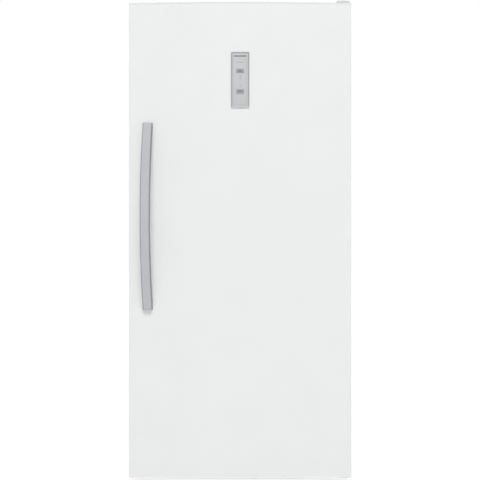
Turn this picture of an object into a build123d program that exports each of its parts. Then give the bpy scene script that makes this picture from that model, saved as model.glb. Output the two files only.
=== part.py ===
from build123d import *
import math
import os

# Upright refrigerator without a freezer, in millimetres.
# X points right, Y points back and Z points up. The origin is on the floor,
# under the middle of the whole refrigerator.

# Clearances
running_fit = 0.05
slide_gap = 0.3
foam_gap = 0.1
seat_gap = 0.05

# Cabinet
cabinet_width = 834.0
cabinet_depth = 630.0
cabinet_top = 1825.0
base_underside = 32.0
shell_sheet = 0.8
back_sheet = 0.8
side_flange = 34.0
bottom_flange = 40.0
side_wall = 50.0
top_wall = 60.0
rear_wall = 55.0
liner_sheet = 1.5
liner_floor = 86.0
liner_tuck = 12.0

# Machine compartment
compartment_depth = 200.0
compartment_top = 225.0
compartment_foam = 40.0
base_sheet = 2.0
base_tray_height = 22.0
rear_flange = 14.0
rear_cover_sheet = 1.5
louvre_count = 9
louvre_height = 5.0
louvre_pitch = 14.0
louvre_columns = 3
louvre_gap = 32.0
louvre_side = 40.0
rear_screw_side = 37.0
gland_radius = 9.0
gland_bore = 4.2
gland_depth = 8.0
gland_side_inset = 28.0
gland_drop = 35.0

# Door
door_side_over = 2.0
door_top_drop = 2.0
door_foot_gap = 4.0
door_bow = 20.0
door_edge_thickness = 58.0
door_corner_radius = 5.0
door_sheet = 0.8
door_return = 12.0
cap_top_height = 5.0
cap_bottom_height = 9.0
cap_plug_depth = 18.0
cap_plug_wall = 2.5

# Door liner ring, which holds the bins
ring_side_inset = 62.0
ring_end_inset = 64.0
ring_thickness = 25.0
ring_depth = 62.0
ring_ledge = 5.0

# Gasket
gasket_space = 8.0
gasket_thickness = 7.7
gasket_width = 20.0
gasket_inset = 15.0
gasket_groove = 4.0

# Hinges, on the right-hand side
hinge_inset = 15.0
hinge_ahead = 32.0
pin_radius = 5.0
pin_in_door = 18.0
pin_head_radius = 7.0
pin_head_height = 2.0
bush_radius = 8.0
bush_length = 20.0
bush_flange_radius = 10.0
bush_boss_radius = 12.0
hinge_sheet = 3.0
hinge_plate_width = 43.0
hinge_plate_reach = 50.0
hinge_round = 8.0
hinge_cover_height = 12.0
hinge_cover_wall = 2.0
hinge_cover_margin = 3.0
hinge_cover_reach = 70.0
hinge_cover_bump = 2.0
hinge_cover_bump_radius = 6.0
hinge_cover_bump_back = 12.0
hinge_cover_corner = 4.0
hinge_cover_edge = 3.0
hinge_screw_spacing = 24.0

# Handle
handle_inset = 72.0
handle_top_drop = 452.0
handle_length = 701.5
handle_reach = 64.0
handle_end_depth = 18.0
handle_finger_gap = 44.0
handle_foot = 34.0
handle_width = 39.0
handle_side_bow = 6.0
handle_edge_radius = 6.0
handle_end_radius = 5.0
stud_radius = 4.0
stud_inset = 16.0
stud_in_handle = 14.0
stud_in_door = 20.0

# Control panel
panel_top_drop = 189.0
panel_width = 68.0
panel_height = 208.0
panel_proud = 4.0
panel_rim = 5.0
panel_edge_radius = 1.0
panel_tray_inset = 4.0
panel_tray_wall = 2.0
panel_tray_depth = 12.0
panel_hole_gap = 0.3
fascia_recess = 0.6
fascia_sheet = 2.0
key_width = 26.0
key_height = 13.0
key_proud = 0.5
key_travel = 0.8
key_edge = 0.25
key_flange = 2.0
key_flange_sheet = 1.0
key_gap = 0.3
key_up_rise = 137.0
key_down_rise = 61.0
plunger_radius = 2.5
board_sheet = 1.6
board_width = 44.0
board_height = 150.0
switch_size = 6.0
switch_height = 2.6
display_width = 26.0
display_height = 34.0
display_depth = 3.0
slot_width = 48.0
slot_height = 4.0
slot_depth = 0.8
slot_drop = 15.0

# Shelves
shelf_count = 3
shelf_first = 700.0
shelf_head_room = 385.0
shelf_front = 105.0
shelf_rear_gap = 66.0
shelf_side_gap = 3.0
glass_thickness = 4.0
shelf_ledge = 12.0
shelf_ledge_height = 10.0
trim_depth = 18.0
trim_lap = 6.0
trim_under = 5.0
trim_over = 8.0
rear_trim_depth = 12.0
trim_edge = 2.5

# Crispers and their cover
crisper_cover_z = 336.0
crisper_cover_thickness = 18.0
crisper_cover_rim = 16.0
crisper_glass_lap = 6.0
crisper_front = 112.0
crisper_floor_gap = 4.0
crisper_top = 330.0
crisper_rear_gap = 45.0
crisper_hump_gap = 8.0
crisper_wall = 2.5
crisper_panel = 4.5
crisper_panel_over = 3.0
crisper_panel_edge = 1.0
crisper_lip = 3.0
crisper_groove = 4.5
crisper_side_gap = 2.0
crisper_lip_gap = 8.0
rail_thickness = 3.0
rail_web = 4.0
rail_lap = 9.0
rail_height = 10.0
grip_width = 110.0
grip_height = 22.0
grip_drop = 46.0
humidity_travel = 15.0
humidity_slot_height = 6.0
humidity_stem = 10.0
humidity_knob_width = 20.0
humidity_knob_height = 14.0
humidity_knob_depth = 3.0
humidity_knob_edge = 1.0
humidity_drop = 16.0

# Door bins
bin_count = 5
bin_first = 128.0
bin_head_room = 351.0
bin_height = 120.0
bin_reach = 100.0
bin_rear_gap = 3.0
bin_side_gap = 7.0
bin_wall = 2.5
bin_corner = 18.0
bin_rim_z = 70.0
bin_rim = 4.0
bin_rim_gap = 1.0
bin_ledge_height = 6.0
lid_sheet = 2.5
lid_gap = 0.5
lid_knuckle = 3.0
lid_pin = 2.0
lid_pin_inset = 5.0
lid_ear = 10.0
lid_ear_height = 7.0

# Light
lens_width = 120.0
lens_front = 60.0
lens_depth = 80.0
lens_height = 10.0
lens_edge = 4.0

# Levelling legs and rollers
leg_side = 47.0
leg_back = 75.0
leg_pad_radius = 18.0
leg_pad_height = 10.0
leg_pad_edge = 2.0
leg_stud_radius = 5.0
leg_stud_top = 50.0
leg_nut_radius = 9.0
roller_radius = 14.0
roller_width = 16.0
roller_edge = 1.0
roller_side = 47.0
roller_front_of_back = 60.0
roller_axle_radius = 3.0
roller_side_gap = 0.4
roller_bracket_length = 32.0
roller_bracket_sheet = 2.0
roller_bracket_bottom = 8.0

# Evaporator
evap_cover_side = 112.0
evap_cover_bottom = 470.0
evap_cover_top = 1080.0
evap_cover_depth = 62.0
evap_cover_wall = 2.0
duct_half = 130.0
duct_top_gap = 65.0
duct_depth = 25.0
duct_vent_width = 80.0
duct_vent_height = 8.0
duct_vent_offset = 60.0
duct_vent_first = 1180.0
duct_vent_drop = 10.0
duct_vent_rows = 4
grille_slots = 7
grille_slot_height = 6.0
grille_slot_pitch = 14.0
grille_slot_width = 96.0
return_slots = 12
return_slot_width = 20.0
return_slot_height = 40.0
return_slot_side = 36.0
evap_coil_side = 39.0
evap_coil_bottom = 500.0
evap_coil_height = 360.0
evap_coil_passes = 10
evap_coil_back = 31.0
evap_tube_radius = 4.0
evap_fin_count = 26
evap_fin_depth = 56.0
evap_fin_over = 12.0
evap_fan_z = 990.0
evap_fan_radius = 46.0
evap_motor_radius = 25.0
evap_motor_depth = 22.0
motor_edge = 3.0
evap_shaft_length = 24.0
fan_shaft_radius = 2.5
fan_hub_radius = 10.0
evap_hub_depth = 14.0
fan_blade_sheet = 1.6
evap_blade_chord = 14.0
fan_pitch_angle = 32.0
evap_blade_count = 5

# Machine compartment contents
compressor_x = 140.0
compressor_radius = 80.0
compressor_height = 146.0
compressor_dome = 42.0
compressor_bowl = 21.0
compressor_seam = 4.0
compressor_seam_height = 5.0
compressor_foot_sheet = 3.0
compressor_foot_x = 78.0
compressor_foot_y = 62.0
compressor_foot_margin = 14.0
grommet_height = 12.0
grommet_radius = 13.0
grommet_neck = 6.0
grommet_lip_radius = 9.0
grommet_lip_height = 3.0
terminal_width = 46.0
terminal_depth = 24.0
terminal_height = 50.0
port_offset = 40.0
port_radius = 4.0
port_top = 200.0
condenser_side = 22.0
condenser_right = -115.0
condenser_bottom = 50.0
condenser_height = 140.0
condenser_passes = 6
condenser_row_front = 60.0
condenser_row_back = 140.0
condenser_tube_radius = 3.0
condenser_fin_count = 22
condenser_fin_front = 30.0
condenser_fin_back = 166.0
condenser_fin_over = 16.0
condenser_link = 12.0
fin_sheet = 0.8
cond_fan_x = -40.0
cond_fan_radius = 62.0
cond_fan_gap = 4.0
cond_fan_z = 118.0
shroud_sheet = 2.0
cond_motor_radius = 24.0
cond_motor_length = 40.0
cond_motor_gap = 14.0
cond_arm = 6.0
cond_foot_land = 2.0
cond_hub_radius = 14.0
cond_hub_depth = 16.0
cond_blade_chord = 22.0
cond_blade_count = 5
cond_shaft_past = 8.0
pan_side = 17.0
pan_gap = 18.0
pan_front_gap = 12.0
pan_rear_gap = 20.0
pan_height = 28.0
pan_wall = 2.0

# Refrigerant lines
line_z = 212.0
line_radius = 3.0
suction_radius = 4.0
capillary_radius = 1.5
line_bend = 8.0
suction_bend = 10.0
line_clear = 1.0
notch_half = 8.0
drop_x = -90.0
drier_radius = 9.0
drier_bottom = 70.0
drier_top = 140.0
drier_neck = 4.5
capillary_low = 46.0
riser_side = 15.0

# Screws
screw_radius = 2.0
screw_head_radius = 4.5
screw_head_height = 1.5
screw_hole = 2.2
screw_length = 12.0

# Places worked out from the sizes above
half_width = cabinet_width / 2
half_inside = half_width - shell_sheet
door_width = cabinet_width + 2 * door_side_over
door_bottom = base_underside + door_foot_gap
door_height = cabinet_top - door_top_drop - door_bottom
handle_x = handle_inset - door_width / 2
bow_radius = (door_width**2 / 4 + door_bow**2) / (2 * door_bow)


def bow_back(x):
    """How far the bowed front lies behind its crown at x."""
    return bow_radius - math.sqrt(bow_radius**2 - x**2)


handle_ahead = handle_reach - bow_back(handle_x)
whole_depth = handle_ahead + door_bow + door_edge_thickness + gasket_space + cabinet_depth
y_back = whole_depth / 2
y_cabinet = y_back - cabinet_depth
y_door = y_cabinet - gasket_space
y_edge = y_door - door_edge_thickness
y_crown = y_edge - door_bow
y_liner = y_cabinet + shell_sheet
y_liner_rear = y_back - rear_wall
y_compartment = y_back - compartment_depth
y_hump = y_compartment - compartment_foam
hump_top = compartment_top + compartment_foam
tray_top = base_underside + base_tray_height
pan_top = base_underside + base_sheet
liner_half = half_width - side_wall
liner_ceiling = cabinet_top - top_wall
flange_half = half_width - side_flange
flange_bottom = base_underside + bottom_flange
flange_top = cabinet_top - side_flange
door_half = door_width / 2
door_top = door_bottom + door_height
handle_bottom = door_top - handle_top_drop - handle_length
pivot_x = door_half - hinge_inset
pivot_y = y_door - hinge_ahead
y_ring_tip = y_door + ring_depth
ring_half = door_half - ring_side_inset
ring_low = door_bottom + ring_end_inset
ring_high = door_top - ring_end_inset
skin_low = door_bottom + cap_bottom_height
skin_high = door_top - cap_top_height
panel_top = door_top - panel_top_drop
panel_bottom = panel_top - panel_height
key_up_z = panel_bottom + key_up_rise
key_down_z = panel_bottom + key_down_rise
y_panel = y_crown - panel_proud
y_fascia = y_panel + fascia_recess
y_fascia_rear = y_fascia + fascia_sheet
y_tray_rear = y_crown + panel_tray_depth
y_board = y_tray_rear - panel_tray_wall - board_sheet
y_handle = y_crown + bow_back(handle_x)
y_riser = y_back - rear_wall / 2
y_evap_coil = y_liner_rear - evap_coil_back
y_rear_flange = y_back - screw_head_height - rear_cover_sheet - base_sheet
y_bin_rear = y_door + bin_rear_gap
y_bin_front = y_door + bin_reach
bin_half = ring_half - ring_thickness - bin_side_gap
bin_pitch = (ring_high - bin_head_room - bin_first) / (bin_count - 1)
shelf_pitch = (liner_ceiling - shelf_head_room - shelf_first) / (shelf_count - 1)
louvre_width = 2 * (half_width - louvre_side) - (louvre_columns - 1) * louvre_gap
louvre_width /= louvre_columns
rear_screw_x = half_width - rear_screw_side
compressor_y = y_compartment + (compartment_depth + base_sheet) / 2
compressor_bottom = pan_top + grommet_height
leg_x = half_width - leg_side
leg_y = y_cabinet + leg_back
roller_x = half_width - roller_side
roller_y = y_back - roller_front_of_back
evap_cover_half = liner_half - evap_cover_side
evap_coil_half = evap_cover_half - evap_coil_side
return_slot_pitch = 2 * (evap_cover_half - return_slot_side) - return_slot_width
return_slot_pitch /= return_slots - 1
duct_top = liner_ceiling - duct_top_gap
duct_vent_pitch = (duct_top - duct_vent_drop - duct_vent_first) / (duct_vent_rows - 1)
riser_x = riser_side - evap_cover_half
condenser_left = condenser_side - half_width
pan_left = compressor_x + compressor_radius + terminal_depth + pan_gap
pan_right = half_width - pan_side
bottom_bush_flange = door_bottom - base_underside - slide_gap
top_bush_flange = cabinet_top - door_top - slide_gap


def block(x0, x1, y0, y1, z0, z1):
    """A box between two opposite corners."""
    centre = Pos((x0 + x1) / 2, (y0 + y1) / 2, (z0 + z1) / 2)
    return centre * Box(abs(x1 - x0), abs(y1 - y0), abs(z1 - z0))


def rod_x(x0, x1, y, z, radius):
    return Pos((x0 + x1) / 2, y, z) * Rot(0, 90, 0) * Cylinder(radius, abs(x1 - x0))


def rod_y(x, y0, y1, z, radius):
    return Pos(x, (y0 + y1) / 2, z) * Rot(90, 0, 0) * Cylinder(radius, abs(y1 - y0))


def rod_z(x, y, z0, z1, radius):
    return Pos(x, y, (z0 + z1) / 2) * Cylinder(radius, abs(z1 - z0))


def tube(points, radius, bend):
    """A round tube along straight runs joined by arcs."""
    path = FilletPolyline(*points, radius=bend)
    section = Plane(origin=path @ 0, z_dir=path % 0) * Circle(radius)
    return sweep(section, path)


def both_sides(part):
    return part + mirror(part, Plane.YZ)


# Door outline and the pieces that share it


def door_outline(inset, rear):
    """The plan of the door, drawn in by inset and closed at the rear plane."""
    half = door_half - inset
    centre_y = y_crown + bow_radius
    radius = bow_radius - inset
    corner_y = centre_y - math.sqrt(radius**2 - half**2)
    front = ThreePointArc((-half, corner_y), (0, centre_y - radius), (half, corner_y))
    back = Polyline((half, corner_y), (half, rear), (-half, rear), (-half, corner_y))
    face = make_face(front + back)
    corners = face.vertices().sort_by(Axis.Y)[:2]
    return fillet(corners, door_corner_radius - inset)


def door_prism(inset, rear, z0, z1):
    return Pos(0, 0, z0) * extrude(door_outline(inset, rear), z1 - z0)


def panel_hole(margin, y0, y1):
    half = panel_width / 2 - panel_tray_inset + margin
    low = panel_bottom + panel_tray_inset - margin
    high = panel_top - panel_tray_inset + margin
    return block(-half, half, y0, y1, low, high)


def stud_heights():
    return [handle_bottom + stud_inset, handle_bottom + handle_length - stud_inset]


def stud_holes(margin):
    y0, y1 = y_crown - door_sheet, y_handle + stud_in_door + margin
    rods = [rod_y(handle_x, y0, y1, z, stud_radius + margin) for z in stud_heights()]
    return rods[0] + rods[1]


def door_skin():
    skin = door_prism(0, y_door, skin_low, skin_high)
    skin -= door_prism(door_sheet, y_door + door_sheet, skin_low, skin_high)
    inner = door_half - door_sheet
    y1 = y_door - liner_sheet
    lip = block(inner - door_return, inner, y1 - door_sheet, y1, skin_low, skin_high)
    skin += both_sides(lip)
    skin -= panel_hole(panel_hole_gap, y_crown - door_sheet, y_crown + door_bow)
    return skin - stud_holes(panel_hole_gap)


def door_cap(z_face, z_seam, side):
    """An end cap: a band with the door's outline and a plug inside the skin."""
    band = door_prism(0, y_door, min(z_face, z_seam), max(z_face, z_seam))
    z_plug = z_seam - side * cap_plug_depth
    low, high = min(z_plug, z_seam), max(z_plug, z_seam)
    rear = y_door - liner_sheet - door_sheet - foam_gap
    inset = door_sheet + foam_gap
    plug = door_prism(inset, rear, low, high)
    plug -= door_prism(inset + cap_plug_wall, rear - cap_plug_wall, low, high)
    boss = rod_z(pivot_x, pivot_y, low, high, bush_boss_radius)
    cap = band + plug + boss
    z_bush = z_face - side * bush_length
    return cap - rod_z(pivot_x, pivot_y, z_face, z_bush, bush_radius + running_fit)


def door_cap_top():
    return door_cap(door_top, skin_high, 1)


def door_cap_bottom():
    return door_cap(door_bottom, skin_low, -1)


def ring_block(inset, depth):
    """The raised ring of the door liner, drawn in by inset on every side."""
    outer = ring_half - inset
    inner = ring_half - ring_thickness + inset
    low, high = ring_low + inset, ring_high - inset
    step = ring_thickness - 2 * inset
    y0 = y_door - liner_sheet
    ring = block(-outer, outer, y0, depth, low, high)
    return ring - block(-inner, inner, y0, depth, low + step, high - step)


def bin_heights():
    top = bin_first + (bin_count - 1) * bin_pitch
    return [top - i * bin_pitch for i in range(bin_count)]


def door_liner():
    half = door_half - door_sheet
    liner = block(-half, half, y_door - liner_sheet, y_door, skin_low, skin_high)
    liner += ring_block(0, y_ring_tip)
    liner -= ring_block(liner_sheet, y_ring_tip - liner_sheet)
    inner = ring_half - ring_thickness
    for z in bin_heights():
        z1 = z + bin_rim_z - slide_gap
        y1 = y_ring_tip - ring_ledge
        ledge = block(inner - ring_ledge, inner, y_door, y1, z1 - bin_ledge_height, z1)
        liner += both_sides(ledge)
    return liner


def door_foam():
    inset = door_sheet + foam_gap
    z0, z1 = skin_low + cap_plug_depth, skin_high - cap_plug_depth
    foam = door_prism(inset, y_door - liner_sheet, z0, z1)
    inner = door_half - door_sheet - door_return - foam_gap
    y1 = y_door - liner_sheet
    behind = block(inner, door_half, y1 - door_sheet - foam_gap, y1, z0, z1)
    foam -= both_sides(behind)
    foam += ring_block(liner_sheet, y_ring_tip - liner_sheet)
    foam -= panel_hole(panel_hole_gap, y_crown - door_sheet, y_tray_rear + foam_gap)
    return foam - stud_holes(panel_hole_gap)


def door_gasket():
    outer = door_half - gasket_inset
    inner = outer - gasket_width
    low, high = door_bottom + gasket_inset, door_top - gasket_inset
    y1 = y_door + gasket_thickness
    ring = block(-outer, outer, y_door, y1, low, high)
    inner_low, inner_high = low + gasket_width, high - gasket_width
    ring -= block(-inner, inner, y_door, y1, inner_low, inner_high)
    side = (gasket_width - gasket_groove) / 2
    half = gasket_thickness / 2
    g_out, g_in = outer - side, inner + side
    groove = block(-g_out, g_out, y1 - half / 2, y1, low + side, high - side)
    groove -= block(-g_in, g_in, y1 - half / 2, y1, inner_low - side, inner_high + side)
    return ring - groove


def door_bushes():
    def bush(z_face, side, flange):
        body = rod_z(pivot_x, pivot_y, z_face, z_face - side * bush_length, bush_radius)
        body += rod_z(pivot_x, pivot_y, z_face, z_face + side * flange, bush_flange_radius)
        z0, z1 = z_face - side * bush_length, z_face + side * flange
        return body - rod_z(pivot_x, pivot_y, z0, z1, pin_radius + running_fit)

    return bush(door_top, 1, top_bush_flange) + bush(door_bottom, -1, bottom_bush_flange)


# Handle


def handle_bar():
    z0, z1 = handle_bottom, handle_bottom + handle_length
    middle = (z0 + z1) / 2
    y_end, y_mid = y_handle - handle_end_depth, y_handle - handle_reach
    y_in = y_handle + door_bow
    outer = ThreePointArc((y_end, z0), (y_mid, middle), (y_end, z1))
    outer += Polyline((y_end, z1), (y_in, z1), (y_in, z0), (y_end, z0))
    side = make_face(outer)
    side = fillet(side.vertices().sort_by(Axis.X)[:2], handle_end_radius)
    f0, f1 = z0 + handle_foot, z1 - handle_foot
    inner = ThreePointArc((y_handle, f0), (y_handle - handle_finger_gap, middle), (y_handle, f1))
    inner += Polyline((y_handle, f1), (y_in, f1), (y_in, f0), (y_handle, f0))
    profile = Plane.YZ * (side - make_face(inner))
    bar = extrude(profile, handle_width, both=True)
    half = handle_width / 2
    left = ThreePointArc((-half, z0), (-half - handle_side_bow, middle), (-half, z1))
    right = ThreePointArc((half, z1), (half - handle_side_bow, middle), (half, z0))
    ends = Line((-half, z1), (half, z1)) + Line((half, z0), (-half, z0))
    front = Plane.XZ * make_face(left + right + ends)
    bar &= extrude(front, whole_depth, both=True)
    long_edges = [e for e in bar.edges() if e.length > handle_length - 3 * handle_foot]
    front_edges = [e for e in long_edges if e.center().Y < y_in - seat_gap]
    bar = fillet(front_edges, handle_edge_radius)
    bar = Pos(handle_x, 0, 0) * bar
    bar -= door_prism(-seat_gap, y_door, door_bottom, door_top)
    for z in stud_heights():
        bore = rod_y(handle_x, y_handle - stud_in_handle, y_handle + door_bow, z,
                     stud_radius + running_fit)
        bar -= bore
    return bar


def handle_studs():
    y0, y1 = y_handle - stud_in_handle, y_handle + stud_in_door
    studs = [rod_y(handle_x, y0, y1, z, stud_radius) for z in stud_heights()]
    return studs[0] + studs[1]


# Control panel in the door


def control_bezel():
    half = panel_width / 2
    y_rear = y_crown - seat_gap
    rim = block(-half, half, y_panel, y_rear, panel_bottom, panel_top)
    rim = fillet(rim.edges().group_by(Axis.Y)[0], panel_edge_radius)
    inside = half - panel_rim
    low, high = panel_bottom + panel_rim, panel_top - panel_rim
    rim -= block(-inside, inside, y_panel, y_rear, low, high)
    tray = panel_hole(0, y_fascia_rear, y_tray_rear)
    hollow = panel_hole(-panel_tray_wall, y_fascia_rear, y_tray_rear - panel_tray_wall)
    return rim + (tray - hollow)


def control_fascia():
    half = panel_width / 2 - panel_rim
    low, high = panel_bottom + panel_rim, panel_top - panel_rim
    plate = block(-half, half, y_fascia, y_fascia_rear, low, high)
    for z in (key_up_z, key_down_z):
        w, h = key_width / 2 + key_gap, key_height / 2 + key_gap
        plate -= block(-w, w, y_fascia, y_fascia_rear, z - h, z + h)
    z = panel_top - slot_drop
    w, h = slot_width / 2, slot_height / 2
    return plate - block(-w, w, y_fascia, y_fascia + slot_depth, z - h, z + h)


def control_key(z):
    w, h = key_width / 2, key_height / 2
    y_front = y_fascia - key_proud
    y_flange = y_fascia_rear + foam_gap
    y_end = y_board - switch_height - key_travel - foam_gap
    key = block(-w, w, y_front, y_flange, z - h, z + h)
    key = fillet(key.edges().group_by(Axis.Y)[0], key_edge)
    w, h = w + key_flange, h + key_flange
    key += block(-w, w, y_flange, y_flange + key_flange_sheet, z - h, z + h)
    return key + rod_y(0, y_flange, y_end, z, plunger_radius)


def key_up():
    return control_key(key_up_z)


def key_down():
    return control_key(key_down_z)


def control_board():
    w, middle = board_width / 2, (key_up_z + key_down_z) / 2
    y_rear = y_board + board_sheet
    board = block(-w, w, y_board, y_rear, middle - board_height / 2, middle + board_height / 2)
    s = switch_size / 2
    for z in (key_up_z, key_down_z):
        board += block(-s, s, y_board - switch_height, y_board, z - s, z + s)
    d, h = display_width / 2, display_height / 2
    return board + block(-d, d, y_board - display_depth, y_board, middle - h, middle + h)


# Hinges


def hinge_plate(z0):
    """A hinge plate with its round end at the pivot and two screw holes."""
    x1 = pivot_x + hinge_round
    x0 = x1 - hinge_plate_width
    plate = block(x0, x1, pivot_y, y_cabinet + hinge_plate_reach, z0, z0 + hinge_sheet)
    plate += block(x0 + hinge_round, pivot_x, pivot_y - hinge_round, pivot_y, z0, z0 + hinge_sheet)
    for x in (x0 + hinge_round, pivot_x):
        plate += rod_z(x, pivot_y, z0, z0 + hinge_sheet, hinge_round)
    plate -= rod_z(pivot_x, pivot_y, z0, z0 + hinge_sheet, pin_radius + running_fit)
    for x, y in hinge_screw_places():
        plate -= rod_z(x, y, z0, z0 + hinge_sheet, screw_hole)
    return plate


def hinge_screw_places():
    x = pivot_x + hinge_round - hinge_plate_width / 2
    y = y_cabinet + hinge_plate_reach / 2 + hinge_sheet
    return [(x, y - hinge_screw_spacing / 2), (x, y + hinge_screw_spacing / 2)]


def top_hinge_bracket():
    return hinge_plate(cabinet_top)


def bottom_hinge_bracket():
    return hinge_plate(base_underside - hinge_sheet)


def hinge_pins():
    z_head = cabinet_top + hinge_sheet
    top = rod_z(pivot_x, pivot_y, door_top - pin_in_door, z_head, pin_radius)
    top += rod_z(pivot_x, pivot_y, z_head, z_head + pin_head_height, pin_head_radius)
    z_low = base_underside - hinge_sheet
    return top + rod_z(pivot_x, pivot_y, z_low, door_bottom + pin_in_door, pin_radius)


def top_hinge_cover():
    x1 = pivot_x + hinge_round + hinge_cover_margin
    x0 = x1 - hinge_plate_width - 2 * hinge_cover_margin
    y0 = pivot_y - hinge_round - hinge_cover_margin
    y1 = y_cabinet + hinge_cover_reach
    z1 = cabinet_top + hinge_cover_height
    wall = hinge_cover_wall
    cover = block(x0, x1, y0, y1, cabinet_top, z1)
    cover = fillet(cover.edges().filter_by(Axis.Z), hinge_cover_corner)
    cover = fillet(cover.edges().group_by(Axis.Z)[-1], hinge_cover_edge)
    cover -= block(x0 + wall, x1 - wall, y0 + wall, y1 - wall, cabinet_top, z1 - wall)
    x_bump = x0 + (x1 - x0) / 2
    y_bump = y0 + hinge_cover_bump_back
    z2 = z1 + hinge_cover_bump
    return cover + rod_z(x_bump, y_bump, z1 - wall, z2, hinge_cover_bump_radius)


# Cabinet


def cabinet_shell():
    shell = block(-half_width, half_width, y_cabinet, y_back, base_underside, cabinet_top)
    inside_top = cabinet_top - shell_sheet
    shell -= block(-half_inside, half_inside, y_liner, y_back, base_underside, inside_top)
    shell -= block(-flange_half, flange_half, y_cabinet, y_liner, flange_bottom, flange_top)
    for x, y in hinge_screw_places():
        shell -= rod_z(x, y, inside_top, cabinet_top, screw_hole)
    return shell


def cabinet_back_panel():
    y0, z1 = y_back - back_sheet, cabinet_top - shell_sheet
    return block(-half_inside, half_inside, y0, y_back, compartment_top, z1)


def cavity(offset):
    """The food space, let out by offset, over the hump of the machine compartment."""
    half = liner_half + offset
    low, high = liner_floor - offset, liner_ceiling + offset
    space = block(-half, half, y_liner, y_liner_rear + offset, low, high)
    return space - block(-half, half, y_hump + offset, y_back, low, hump_top - offset)


def liner_flange():
    half = flange_half + liner_tuck
    low, high = flange_bottom - liner_tuck, flange_top + liner_tuck
    return block(-half, half, y_liner, y_liner + liner_sheet, low, high)


def shelf_heights():
    """Undersides of the shelf glasses, the highest first."""
    return [shelf_first + i * shelf_pitch for i in reversed(range(shelf_count))]


def side_ledge(y0, y1, z0, z1):
    return both_sides(block(liner_half - shelf_ledge, liner_half, y0, y1, z0, z1))


crisper_lip_low = crisper_top - crisper_lip
rail_z = crisper_lip_low - slide_gap
y_crisper = y_cabinet + crisper_front
crisper_lower_depth = y_hump - crisper_hump_gap - y_crisper
crisper_upper_depth = y_liner_rear - crisper_rear_gap - y_crisper
y_rail = y_crisper + crisper_panel + 2 * slide_gap
y_rail_end = y_crisper + crisper_upper_depth + crisper_groove


def suction_path():
    y_port = compressor_y + port_offset
    x_port = compressor_x + port_offset
    return [
        (x_port, y_port, port_top),
        (x_port, y_port, line_z),
        (x_port, y_riser, line_z),
        (riser_x, y_riser, line_z),
        (riser_x, y_riser, evap_coil_bottom),
        (riser_x, y_evap_coil, evap_coil_bottom),
        (-evap_coil_half, y_evap_coil, evap_coil_bottom),
    ]


def suction_tube(margin):
    return tube(suction_path(), suction_radius + margin, suction_bend)


def cabinet_liner():
    liner = cavity(liner_sheet) + liner_flange() - cavity(0)
    y0 = y_cabinet + shelf_front + trim_depth + slide_gap
    y1 = y_liner_rear - shelf_rear_gap - rear_trim_depth - slide_gap
    for z in shelf_heights():
        liner += side_ledge(y0, y1, z - shelf_ledge_height, z)
    liner += side_ledge(y_rail, y_rail_end, rail_z - rail_height, rail_z)
    low = rail_z + crisper_groove
    liner += side_ledge(y_rail, y_rail_end, low, crisper_cover_z)
    hole = suction_radius + line_clear
    return liner - rod_y(riser_x, y_liner_rear, y_riser, evap_coil_bottom, hole)


def cabinet_foam():
    """Foam in five panels: two sides, the ceiling, the back, and the floor with its hump."""
    low, high = tray_top, cabinet_top - shell_sheet
    foam = block(-half_inside, half_inside, y_liner, y_back - back_sheet, low, high)
    foam -= block(-half_inside, half_inside, y_compartment, y_back, low, compartment_top)
    foam -= cavity(liner_sheet) + liner_flange()
    foam -= suction_tube(line_clear)
    for x, y in hinge_screw_places():
        foam -= rod_z(x, y, cabinet_top - screw_length, high, screw_hole)
    side, ceiling = liner_half + liner_sheet, liner_ceiling + liner_sheet
    step = hump_top - liner_sheet
    zones = [
        block(-half_inside, -side, y_liner, y_back, low, high),
        block(side, half_inside, y_liner, y_back, low, high),
        block(-side, side, y_liner, y_back, ceiling, high),
        block(-side, side, y_liner, y_back, step, ceiling),
        block(-side, side, y_liner, y_back, low, step),
    ]
    return Compound(children=[foam & zone for zone in zones])


def rear_screw_places():
    """The screws of the rear cover, in its top and bottom edges."""
    z0, z1 = base_underside + rear_flange / 2, compartment_top - rear_flange / 2
    return [(x, z) for z in (z0, z1) for x in (-rear_screw_x, 0, rear_screw_x)]


def base_frame():
    y0, y1 = y_liner, y_compartment
    t, low = base_sheet, base_underside
    h = half_inside
    frame = block(-h, h, y0, y1, tray_top - t, tray_top)
    frame += block(-h, h, y0, y0 + t, low, tray_top)
    frame += both_sides(block(h - t, h, y0, y1, low, tray_top))
    frame += block(-h, h, y1, y1 + t, low, compartment_top)
    y2 = y_rear_flange + t
    frame += block(-h, h, y1, y2, compartment_top - t, compartment_top)
    frame += block(-h, h, y1, y_rear_flange, low, pan_top)
    frame += both_sides(block(h - t, h, y1, y_rear_flange, low, compartment_top))
    ring = block(-h, h, y_rear_flange, y2, low, compartment_top)
    z0, z1 = low + rear_flange, compartment_top - rear_flange
    ring -= block(-h + rear_flange, h - rear_flange, y_rear_flange, y2, z0, z1)
    for x, z in rear_screw_places():
        ring -= rod_y(x, y_rear_flange, y2, z, screw_hole)
    frame += ring
    x1 = pivot_x + hinge_round
    hinge_rest = block(x1 - hinge_plate_width, x1, y0 + t, y_cabinet + hinge_plate_reach,
                       low, tray_top - t)
    frame += hinge_rest
    for x in (-leg_x, leg_x):
        frame += rod_z(x, leg_y, low, tray_top - t, leg_nut_radius)
        frame -= rod_z(x, leg_y, low, tray_top, leg_stud_radius + running_fit)
    for x, y in hinge_screw_places():
        frame -= rod_z(x, y, low, low + screw_length, screw_hole)
    return frame - suction_tube(line_clear)


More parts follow.
